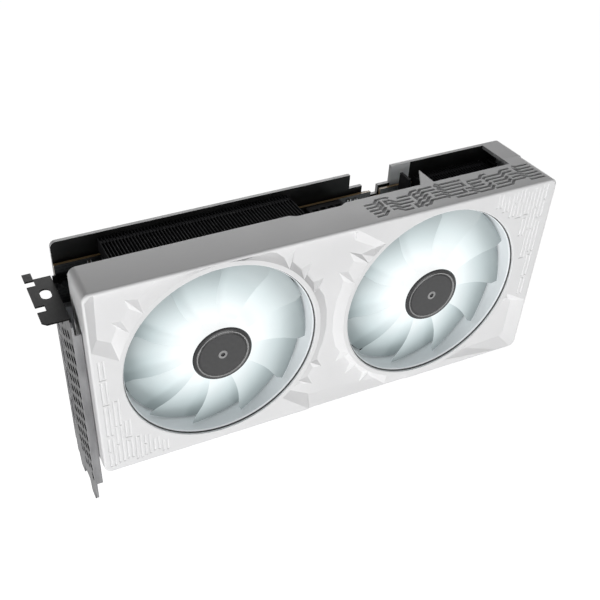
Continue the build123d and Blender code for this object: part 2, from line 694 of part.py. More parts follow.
def make_fin_left():
    over_board = BOARD_TOP + FIN_BOARD_GAP
    over_rear = BACKPLATE_Y0 - FIN_PLATE_GAP
    outline = [
        (FIN_FRONT, FIN_BOTTOM), (FIN_REAR, FIN_BOTTOM), (FIN_REAR, over_board),
        (over_rear, over_board), (over_rear, FIN_TOP), (FIN_FRONT, FIN_TOP),
    ]
    low = FIN_BOTTOM + FIN_STRIP_INSET
    high = FIN_TOP - FIN_STRIP_INSET
    strips = [(FIN_FRONT, low), (FIN_FRONT, high), (FIN_REAR - FIN_T, low), (FIN_REAR - FIN_T, high)]
    return clear_posts(fin_stack(FIN_LEFT_X, outline, strips), BOARD_POSTS[:1])


def make_fin_middle():
    outline = [
        (FIN_FRONT, FIN_BOTTOM), (FIN_REAR, FIN_BOTTOM),
        (FIN_REAR, FIN_MIDDLE_TOP), (FIN_FRONT, FIN_MIDDLE_TOP),
    ]
    low = FIN_BOTTOM + FIN_STRIP_INSET
    high = FIN_MIDDLE_TOP - FIN_STRIP_INSET
    strips = [(FIN_FRONT, low), (FIN_FRONT, high), (FIN_REAR - FIN_T, high)]
    return clear_posts(fin_stack(FIN_MIDDLE_X, outline, strips), BOARD_SCREWS[2:4])


def make_fin_right():
    rear = BACKPLATE_Y0 - FIN_PLATE_GAP
    top = FIN_TOP - FIN_RIGHT_DROP
    outline = [(FIN_FRONT, FIN_BOTTOM), (rear, FIN_BOTTOM), (rear, top), (FIN_FRONT, top)]
    low = FIN_BOTTOM + FIN_STRIP_INSET / 2
    high = top - FIN_STRIP_INSET / 2
    strips = [(FIN_FRONT, low), (FIN_FRONT, high), (rear - FIN_T, low), (rear - FIN_T, high)]
    stack = fin_stack(FIN_RIGHT_X, outline, strips)
    for z in PIPE_ZS:
        stack = stack - make_pipe(z, SEAT)
    return stack


def make_vrm_plate():
    half = VRM_PLATE_WIDTH / 2
    z0 = STAGES[0][1] - STAGE_SIZE[1] / 2
    z1 = STAGES[-1][1] + STAGE_SIZE[1] / 2
    return block((STAGE_X - half, STAGE_X + half), (PIPE_REAR + SEAT, STAGE_FRONT - STAGE_PAD_T), (z0, z1))


def make_retention_bracket():
    y0 = BOARD_REAR + FILM_T
    y1 = y0 + RETENTION_T
    core = square_stack(GPU_X, GPU_Z, RETENTION_CORE, RETENTION_CORE, y0, y1)
    for x, z in RETENTION_BOLTS:
        run = math.hypot(x - GPU_X, z - GPU_Z)
        angle = math.degrees(math.atan2(z - GPU_Z, x - GPU_X))
        arm = Pos(run / 2, 0, 0) * Box(run, RETENTION_T, RETENTION_ARM)
        core += Pos(GPU_X, (y0 + y1) / 2, GPU_Z) * Rot(0, -angle, 0) * arm
        core += rod(x, z, RETENTION_ARM / 2, y0, y1)
    for x, z in RETENTION_BOLTS:
        core -= rod(x, z, SCREW_R + FIT, y0 - 1, y1 + 1)
    return core


def make_retention_film():
    y = (BOARD_REAR, BOARD_REAR + FILM_T)
    films = [ring(x, z, RETENTION_ARM / 2, SCREW_R + FIT, *y) for x, z in RETENTION_BOLTS]
    core = RETENTION_CORE * FILM_CORE_SHARE
    films.append(square_stack(GPU_X, GPU_Z, core, core, *y))
    return films


def make_retention_screws():
    head = BOARD_REAR + FILM_T + RETENTION_T + SCREW_HEAD_T
    tip = PLATE_REAR - COLD_PLATE_T * RETENTION_TIP_SHARE
    return [screw(x, z, head, tip, SCREW_R, SCREW_HEAD_R, SCREW_HEAD_T) for x, z in RETENTION_BOLTS]


# ---------------------------------------------------------------- backplate
def make_backplate():
    x0 = SHROUD_X0 - BACKPLATE_LEFT_LAP
    x1 = SHROUD_X1
    top = SHROUD_Z1
    plate = block((x0, x1), (BACKPLATE_Y0, BACKPLATE_Y1), (BACKPLATE_Z0, top))
    plate = fillet(plate.edges().filter_by(Axis.Y), BACKPLATE_CORNER_R)
    through = (BACKPLATE_Y0 - 1, BACKPLATE_Y1 + 1)
    for cut0, cut1, drop in zip(BACKPLATE_CUT_X, BACKPLATE_CUT_X[1:], BACKPLATE_CUT_DROP):
        plate -= block((cut0, cut1), through, (top - drop, top + 1))
    window = square_stack(GPU_X, GPU_Z, BACKPLATE_WINDOW, BACKPLATE_WINDOW, *through)
    plate -= chamfer(window.edges().filter_by(Axis.Y), BACKPLATE_CORNER_R * 2)
    middle = (BOARD_X1 + FIN_RIGHT_X[1]) / 2
    mouth = SlotOverall(GRILLE_LENGTH, GRILLE_SLOT_WIDTH, rotation=GRILLE_TILT)
    slot = Rot(90, 0, 0) * extrude(mouth, amount=through[1] - through[0])
    for index in range(GRILLE_SLOTS):
        plate -= Pos(middle, through[1], GRILLE_Z0 + index * GRILLE_PITCH) * slot
    joint = SHROUD_END_Y + BACKPLATE_SEAM
    end_wall = block((x1 - SHROUD_WALL, x1), (joint, BACKPLATE_Y0), (SHROUD_Z0, top))
    end_bar = block((x1 - END_BAR_WIDTH, x1), (joint, BACKPLATE_Y0), (top - SHROUD_WALL, top))
    corners = rounded_prism(x1 - x0, top - BACKPLATE_Z0)
    plate += (end_wall + end_bar) & (Pos((x0 + x1) / 2, 0, (BACKPLATE_Z0 + top) / 2) * corners)
    for x, z in BOARD_SCREWS:
        plate += rod(x, z, BOSS_R, BOARD_REAR, BACKPLATE_Y0)
    for x, z in list(BOARD_SCREWS) + END_POSTS:
        plate -= rod(x, z, SCREW_R + FIT, BOARD_REAR - 1, BACKPLATE_Y1 + 1)
        plate -= rod(x, z, SCREW_HEAD_R + FIT, BACKPLATE_Y1 - SCREW_HEAD_T, BACKPLATE_Y1 + 1)
    recess = (BACKPLATE_Y0 - 1, BACKPLATE_Y0 + SCREW_HEAD_T / 2)
    for z in LUG_Z:
        plate -= rod(lug_x(), z, BRACKET_SCREW_HEAD_R + FIT, *recess)
    return plate


def rounded_prism(width, height):
    """Long bar along Y with the backplate's corner radius."""
    bar = Box(width, 4 * SHROUD_END_DEPTH, height)
    return fillet(bar.edges().filter_by(Axis.Y), BACKPLATE_CORNER_R)


def make_backplate_pads():
    upper = GPU_Z + RETENTION_HALF + BACKPLATE_WINDOW * PAD_RISE_SHARE
    places = (upper, STAGES[0][1])
    return [square_stack(STAGE_X, z, *BACKPLATE_PAD_SIZE, BOARD_REAR, BACKPLATE_Y0) for z in places]


def make_backplate_screws():
    tip = BOARD_FRONT - BOARD_STANDOFF_LENGTH + STANDOFF_TIP_GAP
    board = [screw(x, z, BACKPLATE_Y1, tip, SCREW_R, SCREW_HEAD_R, SCREW_HEAD_T) for x, z in BOARD_SCREWS]
    end_tip = BACKPLATE_Y0 - POST_PILOT_DEPTH + POST_TIP_GAP
    end = [screw(x, z, BACKPLATE_Y1, end_tip, SCREW_R, SCREW_HEAD_R, SCREW_HEAD_T) for x, z in END_POSTS]
    return board + end


# ---------------------------------------------------------------- shroud
def add_post(shell, x, z, radius, y0, y1):
    """Screw post from the face to y1, with its pilot hole."""
    post = shell + rod(x, z, radius, y0, y1)
    return post - rod(x, z, SCREW_R + FIT, y1 - POST_PILOT_DEPTH, y1 + 1)


def make_shroud():
    x0, x1 = SHROUD_X0, SHROUD_X1
    z0, z1 = SHROUD_Z0, SHROUD_Z1
    outer = block((x0, x1), (SHROUD_FRONT_Y, SHROUD_END_Y), (z0, z1))
    outer = fillet(outer.edges().filter_by(Axis.Y), SHROUD_CORNER_R)
    outer = fillet(outer.faces().sort_by(Axis.Y)[0].edges(), SHROUD_EDGE_R)
    inner = block((x0 + SHROUD_WALL, x1 - SHROUD_WALL), (SHROUD_FRONT_Y + SHROUD_FACE_T, SHROUD_END_Y + 1),
                  (z0 + SHROUD_WALL, z1 - SHROUD_WALL))
    inner = fillet(inner.edges().filter_by(Axis.Y), SHROUD_CORNER_R - SHROUD_WALL)
    shell = outer - inner
    shell -= block((x0 - 1, x1 - END_BAR_WIDTH), (SHROUD_REAR_Y, SHROUD_END_Y + 1), (z0 - 1, z1 + 1))
    notch_y = SHROUD_REAR_Y - TOP_NOTCH_DEPTH
    notch = [
        (TOP_NOTCH_X[0] - TOP_NOTCH_SLOPE, SHROUD_REAR_Y + 1), (TOP_NOTCH_X[0], notch_y),
        (TOP_NOTCH_X[1], notch_y), (TOP_NOTCH_X[1] + TOP_NOTCH_SLOPE, SHROUD_REAR_Y + 1),
    ]
    shell -= plate_xy(notch, z1 - 2 * SHROUD_WALL, z1 + 1)
    face_rear = SHROUD_FRONT_Y + SHROUD_FACE_T
    lip = (face_rear - 1, SHROUD_FRONT_Y + FAN_LIP_DEPTH)
    for fan_x in FANS.values():
        shell += ring(fan_x, FAN_Z, FAN_OPENING_R + FAN_LIP_T, FAN_OPENING_R, *lip)
        shell -= rod(fan_x, FAN_Z, FAN_OPENING_R, SHROUD_FRONT_Y - 1, SHROUD_REAR_Y)
        for dx, dz in FAN_LUGS:
            shell = add_post(shell, fan_x + dx, FAN_Z + dz, FAN_POST_R, face_rear - 1, FRAME_FRONT)
    for x, z in BOARD_POSTS:
        shell = add_post(shell, x, z, POST_R, face_rear - 1, BOARD_FRONT)
    for x, z in END_POSTS:
        shell = add_post(shell, x, z, POST_R, face_rear - 1, BACKPLATE_Y0)
    return shell


# ---------------------------------------------------------------- fans
def make_blade(fan_x, angle):
    """Twisted blade between a root inside the hub wall and a tip trimmed to the tip circle."""
    tip_rise = FAN_TIP_CHORD * math.sin(math.radians(FAN_TIP_PITCH))
    mid_y = SHROUD_FRONT_Y + FAN_BLADE_SETBACK + tip_rise / 2
    root = (HUB_R - HUB_WALL / 2, FAN_ROOT_CHORD, FAN_ROOT_PITCH, 0.0)
    middle = ((HUB_R + FAN_TIP_R) / 2, (FAN_ROOT_CHORD + FAN_TIP_CHORD) / 2,
              (FAN_ROOT_PITCH + FAN_TIP_PITCH) / 2, FAN_TIP_SWEEP * BLADE_MIDDLE_SWEEP_SHARE)
    tip = (FAN_TIP_R + FAN_BLADE_OVERRUN, FAN_TIP_CHORD, FAN_TIP_PITCH, FAN_TIP_SWEEP)
    sections = []
    for radius, chord, pitch, sweep in (root, middle, tip):
        profile = Rectangle(chord, FAN_BLADE_T)
        plane = Plane(origin=(0, 0, radius), x_dir=(1, 0, 0), z_dir=(0, 0, 1))
        lean = Rot(0, sweep, 0)
        sections.append(lean * plane * Rot(0, 0, -pitch) * profile)
    blade = loft(sections, ruled=True)
    return Pos(fan_x, mid_y, FAN_Z) * Rot(0, angle, 0) * blade


def make_rotor(fan_x):
    cup = rod(fan_x, FAN_Z, HUB_R, HUB_FRONT, HUB_REAR)
    cup = fillet(cup.faces().sort_by(Axis.Y)[0].edges(), HUB_WALL * HUB_RIM_SHARE)
    cup -= rod(fan_x, FAN_Z, HUB_R - HUB_WALL, HUB_FRONT + HUB_FACE_T, HUB_REAR + 1)
    cup += rod(fan_x, FAN_Z, SHAFT_R + TUBE_WALL, HUB_FRONT + HUB_FACE_T, HUB_FRONT + 2 * HUB_FACE_T)
    cup -= rod(fan_x, FAN_Z, HUB_CAP_R + FIT, HUB_FRONT - 1, HUB_FRONT + HUB_CAP_T)
    cup -= rod(fan_x, FAN_Z, SHAFT_R, HUB_FRONT + HUB_CAP_T + FIT, HUB_REAR)
    envelope = ring(fan_x, FAN_Z, FAN_TIP_R, HUB_R - HUB_WALL / 2, SHROUD_FRONT_Y, HUB_REAR)
    for index in range(FAN_BLADES):
        cup += make_blade(fan_x, 360 / FAN_BLADES * index) & envelope
    return cup


def make_hub_cap(fan_x):
    cap = rod(fan_x, FAN_Z, HUB_CAP_R, HUB_FRONT, HUB_FRONT + HUB_CAP_T)
    outer, inner = [HUB_CAP_R * share for share in HUB_CAP_GROOVE_SHARE]
    floor = HUB_FRONT + HUB_CAP_T * HUB_CAP_DEPTH_SHARE
    return cap - ring(fan_x, FAN_Z, outer, inner, HUB_FRONT - 1, floor)


def magnet_range():
    front = HUB_REAR - MAGNET_INSET - MAGNET_LENGTH
    return front, front + MAGNET_LENGTH


def make_magnet(fan_x):
    outer = HUB_R - HUB_WALL - SEAT
    return ring(fan_x, FAN_Z, outer, outer - MAGNET_T, *magnet_range())


def make_shaft(fan_x):
    shaft = rod(fan_x, FAN_Z, SHAFT_R, HUB_FRONT + HUB_CAP_T + FIT, FRAME_FRONT - FIT)
    return chamfer(shaft.faces().sort_by(Axis.Y)[-1].edges(), SHAFT_R * SHAFT_BEVEL_SHARE)


def make_bearing(fan_x):
    return ring(fan_x, FAN_Z, BEARING_R, SHAFT_R + FIT, FRAME_FRONT - BEARING_LENGTH, FRAME_FRONT)


def make_fan_frame(fan_x):
    frame = rod(fan_x, FAN_Z, FRAME_DISC_R, FRAME_FRONT, FRAME_REAR)
    for dx, dz in FAN_LUGS:
        run = math.hypot(dx, dz)
        angle = math.degrees(math.atan2(dz, dx))
        strut = Pos(run / 2, 0, 0) * Box(run, FRAME_T, STRUT_WIDTH)
        frame += Pos(fan_x, (FRAME_FRONT + FRAME_REAR) / 2, FAN_Z) * Rot(0, -angle, 0) * strut
        frame += rod(fan_x + dx, FAN_Z + dz, FAN_LUG_R, FRAME_FRONT, FRAME_REAR)
    for dx, dz in FAN_LUGS:
        frame -= rod(fan_x + dx, FAN_Z + dz, SCREW_R + FIT, FRAME_FRONT - 1, FRAME_REAR + 1)
        frame -= rod(fan_x + dx, FAN_Z + dz, SCREW_HEAD_R + FIT, FRAME_REAR - SCREW_HEAD_T, FRAME_REAR + 1)
    bore = BEARING_R + SEAT
    tube = ring(fan_x, FAN_Z, bore + TUBE_WALL, bore, FRAME_FRONT - BEARING_LENGTH, FRAME_FRONT)
    return frame + tube


def stator_box(shares):
    return Box(STATOR_R * shares[0], STATOR_T * shares[1], STATOR_R * shares[2])


def make_stator(fan_x):
    inner = BEARING_R + SEAT + TUBE_WALL + SEAT
    middle = sum(magnet_range()) / 2
    y = (middle - STATOR_T / 2, middle + STATOR_T / 2)
    core = ring(fan_x, FAN_Z, STATOR_R * STATOR_CORE_SHARE, inner, *y)
    tooth = Pos(STATOR_R * TOOTH_PLACE_SHARE, 0, 0) * stator_box(TOOTH_SHARE)
    shoe = Pos(STATOR_R * SHOE_PLACE_SHARE, 0, 0) * stator_box(SHOE_SHARE)
    for index in range(STATOR_TEETH):
        turn = Pos(fan_x, middle, FAN_Z) * Rot(0, 360 / STATOR_TEETH * index, 0)
        core += turn * tooth + turn * shoe
    return core


def make_fan_board(fan_x):
    inner = BEARING_R + SEAT + TUBE_WALL + SEAT
    return ring(fan_x, FAN_Z, FAN_BOARD_R, inner, FRAME_FRONT - FAN_BOARD_T / 2, FRAME_FRONT)


def make_leds(fan_x):
    lamps = []
    radius = FRAME_DISC_R - LED_SIZE / 2
    front = FRAME_FRONT - FAN_BOARD_T / 2
    for index in range(LED_COUNT):
        angle = math.radians(360 / LED_COUNT * (index + 0.5))
        x = fan_x + radius * math.cos(angle)
        z = FAN_Z + radius * math.sin(angle)
        lamps.append(square_stack(x, z, LED_SIZE, LED_SIZE, front, FRAME_FRONT))
    return lamps


def make_fan_screws():
    tip = FRAME_FRONT - POST_PILOT_DEPTH + POST_TIP_GAP
    spots = [(fan_x + dx, FAN_Z + dz) for fan_x in FANS.values() for dx, dz in FAN_LUGS]
    return [screw(x, z, FRAME_REAR, tip, SCREW_R, SCREW_HEAD_R, SCREW_HEAD_T) for x, z in spots]


def make_standoffs():
    """Threaded standoffs in front of the board where no shroud post can reach past a fan."""
    y0 = BOARD_FRONT - BOARD_STANDOFF_LENGTH
    return [ring(x, z, POST_R, SCREW_R + FIT, y0, BOARD_FRONT) for x, z in BOARD_STANDOFFS]


# ---------------------------------------------------------------- fan leads
def make_header(z):
    y0 = BOARD_FRONT - HEADER_SIZE[1]
    body = square_stack(HEADER_X, z, HEADER_SIZE[0], HEADER_SIZE[2], y0, BOARD_FRONT)
    return chamfer(body.edges().filter_by(Axis.Y), HEADER_SIZE[0] * HEADER_CORNER_SHARE)


def cable_route(side, z):
    """From the fan's base between two struts, up the gap between the fin stacks, back to the header."""
    toward = 1 if side == "left" else -1
    lead_y = (FRAME_FRONT + FRAME_REAR) / 2
    gap_x = HEADER_X - toward * CABLE_OFFSET
    start = Vector(FANS[side] + toward * FRAME_DISC_R, lead_y, FAN_Z)
    turn = Vector(gap_x, lead_y, FAN_Z)
    rise = Vector(gap_x, lead_y, z)
    plug = Vector(gap_x, BOARD_FRONT - HEADER_SIZE[1], z)
    return [start, turn, rise, plug]


def make_cable(side, z):
    points = cable_route(side, z)
    path = FilletPolyline(*points, radius=CABLE_BEND_R)
    section = Plane(origin=points[0], z_dir=points[1] - points[0]) * Circle(CABLE_R)
    return sweep(section, path=path)


# ---------------------------------------------------------------- files
def main():
    os.makedirs("parts", exist_ok=True)
    write("pcb", make_board())
    write("edge_contacts", *make_contacts())
    substrate_front = BOARD_FRONT - SUBSTRATE_T
    substrate = square_stack(GPU_X, GPU_Z, SUBSTRATE_SIZE, SUBSTRATE_SIZE, substrate_front, BOARD_FRONT)
    write("gpu_substrate", substrate)
    write("gpu_die", square_stack(GPU_X, GPU_Z, DIE_SIZE, DIE_SIZE, DIE_FRONT, substrate_front))
    chips = [square_stack(x, z, *MEMORY_SIZE, MEMORY_FRONT, BOARD_FRONT) for x, z in memory_spots()]
    write("memory_chips", *chips)
    pads = [square_stack(x, z, *MEMORY_SIZE, PLATE_REAR, MEMORY_FRONT) for x, z in memory_spots()]
    write("memory_thermal_pads", *pads)
    stages = [square_stack(x, z, *STAGE_SIZE, STAGE_FRONT, BOARD_FRONT) for x, z in STAGES]
    write("power_stages", *stages)
    pad_y = (STAGE_FRONT - STAGE_PAD_T, STAGE_FRONT)
    write("power_stage_pads", *[square_stack(x, z, *STAGE_SIZE, *pad_y) for x, z in STAGES])
    write("power_stage_plate", make_vrm_plate())
    write("power_inductors", *make_inductors())
    write("capacitors", *make_capacitors())
    write("power_connector", make_power_connector())
    write("power_connector_pins", *[pin_shape(x, y, 0.0) for x, y in power_cells()])
    write("cold_plate", make_cold_plate())
    for index, z in enumerate(PIPE_ZS):
        write(f"heat_pipe_{index + 1}", make_pipe(z))
    write("fin_stack_left", make_fin_left())
    write("fin_stack_middle", make_fin_middle())
    write("fin_stack_right", make_fin_right())
    write("retention_bracket", make_retention_bracket())
    write("retention_film", *make_retention_film())
    write("retention_screws", *make_retention_screws())
    write("io_bracket", make_bracket())
    write("bracket_screws", *make_bracket_screws())
    for index in range(len(PORT_Z) - 1):
        write(f"displayport_{index + 1}", make_port_shell(index))
    write("hdmi_port", make_port_shell(len(PORT_Z) - 1))
    write("port_insulators", *make_port_insulators())
    write("front_shroud", make_shroud())
    write("backplate", make_backplate())
    write("backplate_pads", *make_backplate_pads())
    write("backplate_screws", *make_backplate_screws())
    write("board_standoffs", *make_standoffs())
    write("fan_screws", *make_fan_screws())
    for side, z in zip(("left", "right"), HEADER_Z):
        fan_x = FANS[side]
        write(f"{side}_fan_rotor", make_rotor(fan_x))
        write(f"{side}_fan_hub_cap", make_hub_cap(fan_x))
        write(f"{side}_fan_magnet", make_magnet(fan_x))
        write(f"{side}_fan_shaft", make_shaft(fan_x))
        write(f"{side}_fan_bearing", make_bearing(fan_x))
        write(f"{side}_fan_frame", make_fan_frame(fan_x))
        write(f"{side}_fan_stator", make_stator(fan_x))
        write(f"{side}_fan_board", make_fan_board(fan_x))
        write(f"{side}_fan_leds", *make_leds(fan_x))
        write(f"{side}_fan_cable", make_cable(side, z))
        write(f"{side}_fan_header", make_header(z))


main()
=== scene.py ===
"""Looks of the two-fan graphics card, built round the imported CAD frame. Lengths are metres, and MM turns
millimetres into metres. Relief and patterns of the shroud are given in millimetres from its lower left
corner: u along the card, v up and d back from the front face."""
import math
import random

import bmesh
import bpy
from mathutils import Euler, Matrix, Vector
from mathutils.geometry import delaunay_2d_cdt


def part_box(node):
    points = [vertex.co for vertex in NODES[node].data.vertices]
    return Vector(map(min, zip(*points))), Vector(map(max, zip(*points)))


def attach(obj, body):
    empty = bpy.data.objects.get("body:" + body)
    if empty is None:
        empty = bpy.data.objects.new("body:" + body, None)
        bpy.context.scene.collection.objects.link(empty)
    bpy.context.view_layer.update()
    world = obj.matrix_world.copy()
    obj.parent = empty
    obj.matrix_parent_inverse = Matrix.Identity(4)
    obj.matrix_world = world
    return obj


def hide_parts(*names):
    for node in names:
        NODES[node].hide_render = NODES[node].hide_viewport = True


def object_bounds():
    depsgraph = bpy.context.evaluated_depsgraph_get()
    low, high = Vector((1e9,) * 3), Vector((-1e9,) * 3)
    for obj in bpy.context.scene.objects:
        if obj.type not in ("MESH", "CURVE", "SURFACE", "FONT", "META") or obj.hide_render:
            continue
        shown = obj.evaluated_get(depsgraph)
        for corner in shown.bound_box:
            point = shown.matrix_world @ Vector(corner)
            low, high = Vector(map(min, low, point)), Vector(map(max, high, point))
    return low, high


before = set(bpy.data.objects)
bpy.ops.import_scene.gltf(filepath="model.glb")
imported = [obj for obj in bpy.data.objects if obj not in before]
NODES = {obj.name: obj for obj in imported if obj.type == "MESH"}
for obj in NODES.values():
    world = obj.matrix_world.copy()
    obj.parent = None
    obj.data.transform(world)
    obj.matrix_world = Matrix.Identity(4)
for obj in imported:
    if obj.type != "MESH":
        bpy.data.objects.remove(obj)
CAD_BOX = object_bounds()
MM = 0.001

# -------- camera, stage and light
CAMERA_PLACE = (-0.1071, -0.3232, 0.3361)
CAMERA_TURN = (51.03, 0.40, -23.30)
CAMERA_LENS = 50.88
CAMERA_SHIFT = (0.1229, 0.0554)
CAMERA_SENSOR = 36
CAMERA_CLIP = (0.01, 20)
FLOOR_DROP = 1.25
STAGE_SIZE = 24.0
FLOOR_GLOW = 0.94
WORLD_DIM = 0.08
LAMPS = (
    # name, place, size, power; every lamp aims at the middle of the card
    ("left_key", (-1.75, -1.80, -0.70), (0.9, 0.9), 42.0),
    ("front_fill", (0.35, -1.5, 0.10), (1.0, 0.8), 9.5),
    ("top_soft", (0.1, 0.15, 1.3), (0.9, 0.7), 0.80),
    ("rear_fill", (0.4, 1.2, 0.4), (1.0, 0.8), 9.0),
)

# -------- sizes taken from the frame
SHROUD_LOW, SHROUD_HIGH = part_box("front_shroud")
PLATE_REAR_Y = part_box("backplate")[1].y
BOARD_LOW, BOARD_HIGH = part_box("pcb")
SHROUD_W = (SHROUD_HIGH.x - SHROUD_LOW.x) / MM
SHROUD_H = (SHROUD_HIGH.z - SHROUD_LOW.z) / MM
FRONT_Y = SHROUD_LOW.y


def fan_centre(side):
    """Fan axis in shroud millimetres."""
    low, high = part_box(f"{side}_fan_rotor")
    return ((low.x + high.x) / 2 - SHROUD_LOW.x) / MM, ((low.z + high.z) / 2 - SHROUD_LOW.z) / MM


FAN_LEFT = fan_centre("left")
FAN_RIGHT = fan_centre("right")
MIRROR_U = FAN_LEFT[0] + FAN_RIGHT[0]
MIRROR_V = FAN_LEFT[1] + FAN_RIGHT[1]

# shroud sizes, millimetres
TOUCH = 0.01
WALL = 1.8
CORNER_R = 4.0
EDGE_R = 1.2
SIDE_DEPTH = 22.3
END_DEPTH = 28.1
END_BAR = 12.6
FACE_BACK = 4.6
OPENING_R = 49.2
OPENING_ROUND = 0.45
LIP_R = 51.7
DUCT_OUTER_R = 50.6
DUCT_DEPTH = 15.5
# depths of the ring in the duct wall that is painted dark as the shadow of the gap
GAP_RING = (1.0, 1.5)
FLOOR = 2.4
GROOVE = 0.3
GROOVE_WIDTH = 0.8
GROOVE_EDGE = 0.18
MITRE_LIMIT = 0.35
NOTCH_U = (109.85, 133.35)
NOTCH_SLOPE = 3.3
NOTCH_DEPTH = 1.8
CIRCLE_STEPS = 120
CORNER_STEPS = 10
EDGE_STEPS = 8
LATHE_STEPS = 96
SHROUD_SHARP = 12
ROTOR_SHARP = 40

# places on the card where a material changes, metres
PLATE_DEPTH = 2.6 * MM
PLATE_BARE_X = (0.1232, 0.1345)
# above this height the bracket's tab is painted black as painted shade
BRACKET_SHADED_TAB_Z = 0.1105
BRACKET_FOOT_Z = 0.016
# in front of this the bracket's flange is painted paler as a painted reflection
BRACKET_SHEEN_FLANGE_Y = -0.0340


# -------- node helpers for materials
class Shader:
    """One material with a principled shader and short calls for its procedural nodes."""

    def __init__(self, name, colour, roughness, metallic=0.0, **sockets):
        self.material = bpy.data.materials.new(name)
        self.material.use_nodes = True
        self.tree = self.material.node_tree
        self.bsdf = self.tree.nodes["Principled BSDF"]
        self.bsdf.inputs["Base Color"].default_value = (*colour, 1)
        self.bsdf.inputs["Roughness"].default_value = roughness
        self.bsdf.inputs["Metallic"].default_value = metallic
        for key, value in sockets.items():
            self.bsdf.inputs[key.replace("_", " ")].default_value = value
        self.place = self.node("ShaderNodeTexCoord").outputs["Object"]

    def node(self, kind, **values):
        made = self.tree.nodes.new(kind)
        for key, value in values.items():
            setattr(made, key, value)
        return made

    def link(self, source, target):
        self.tree.links.new(source, target)

    def noise(self, scale, detail=3.0, stretch=(1, 1, 1), rough=0.5):
        """Noise of a given number of cells per metre, stretched along the object's axes."""
        mapping = self.node("ShaderNodeMapping")
        mapping.inputs["Scale"].default_value = stretch
        self.link(self.place, mapping.inputs["Vector"])
        made = self.node("ShaderNodeTexNoise")
        made.inputs["Scale"].default_value = scale
        made.inputs["Detail"].default_value = detail
        made.inputs["Roughness"].default_value = rough
        self.link(mapping.outputs["Vector"], made.inputs["Vector"])
        return made.outputs["Fac"]

    def ramp(self, source, *stops):
        """Colour ramp from (position, colour) stops."""
        made = self.node("ShaderNodeValToRGB")
        bar = made.color_ramp
        while len(bar.elements) < len(stops):
            bar.elements.new(0.5)
        for element, (position, colour) in zip(bar.elements, stops):
            element.position = position
            element.color = (*colour, 1)
        self.link(source, made.inputs["Fac"])
        return made.outputs["Color"]

    def spread(self, source, low, high):
        """Maps 0.3..0.7 of a noise onto low..high."""
        made = self.node("ShaderNodeMapRange")
        made.inputs["From Min"].default_value = 0.3
        made.inputs["From Max"].default_value = 0.7
        made.inputs["To Min"].default_value = low
        made.inputs["To Max"].default_value = high
        self.link(source, made.inputs["Value"])
        return made.outputs["Result"]

    def math(self, operation, first, second=0.0):
        made = self.node("ShaderNodeMath", operation=operation)
        for socket, value in zip(made.inputs, (first, second)):
            if isinstance(value, (int, float)):
                socket.default_value = value
            else:
                self.link(value, socket)
        return made.outputs["Value"]

    def mix(self, factor, first, second):
        made = self.node("ShaderNodeMix", data_type="RGBA")
        for index, value in ((0, factor), (6, first), (7, second)):
            if isinstance(value, tuple):
                made.inputs[index].default_value = (*value, 1)
            else:
                self.link(value, made.inputs[index])
        return made.outputs[2]

    def vary(self, colour, scale, amount, roughness=None, stretch=(1, 1, 1)):
        """Colour and roughness that drift round their middle with a noise."""
        source = self.noise(scale, 4.0, stretch)
        dark = tuple(c * (1 - amount) for c in colour)
        light = tuple(min(1.0, c * (1 + amount)) for c in colour)
        self.link(self.ramp(source, (0.3, dark), (0.7, light)), self.bsdf.inputs["Base Color"])
        if roughness:
            self.link(self.spread(source, *roughness), self.bsdf.inputs["Roughness"])
        return self

    def bump(self, scale, height, stretch=(1, 1, 1)):
        made = self.node("ShaderNodeBump")
        made.inputs["Strength"].default_value = 1.0
        made.inputs["Distance"].default_value = height
        self.link(self.noise(scale, 3.0, stretch), made.inputs["Height"])
        self.link(made.outputs["Normal"], self.bsdf.inputs["Normal"])
        return self

    def axis(self, source, index):
        parts = self.node("ShaderNodeSeparateXYZ")
        self.link(source, parts.inputs[0])
        return parts.outputs[index]

    def normal(self):
        return self.node("ShaderNodeNewGeometry").outputs["Normal"]


# -------- materials
def white_plastic():
    colour = (0.80, 0.80, 0.805)
    made = Shader("white_plastic", colour, 0.42,
                  Specular_IOR_Level=0.4, Coat_Weight=0.06, Coat_Roughness=0.3)
    return made.vary(colour, 60, 0.015, (0.38, 0.5)).bump(2600, 0.000015).material


def groove_plastic():
    colour = (0.16, 0.16, 0.165)
    made = Shader("groove_grey", colour, 0.5)
    return made.vary(colour, 900, 0.2, (0.42, 0.6)).bump(3000, 0.00002).material


def duct_painted_glow():
    colour = (0.74, 0.75, 0.765)
    # painted glow: the duct wall is no lamp; its emission stands in for the fans' light falling on it
    made = Shader("duct_painted_glow", colour, 0.3,
                  Coat_Weight=0.2, Coat_Roughness=0.15, Emission_Strength=0.16)
    made.bsdf.inputs["Emission Color"].default_value = (0.88, 0.97, 1.0, 1)
    return made.vary(colour, 80, 0.03, (0.28, 0.36)).bump(2400, 0.000003, (1, 1, 6)).material


def gap_painted_shade():
    # painted shade: this dark ring in the duct wall stands in for the shadow in the gap between the shroud's
    # lip and the fan
    colour = (0.09, 0.09, 0.093)
    return Shader("gap_painted_shade", colour, 0.6).vary(colour, 500, 0.3, (0.5, 0.7)).material


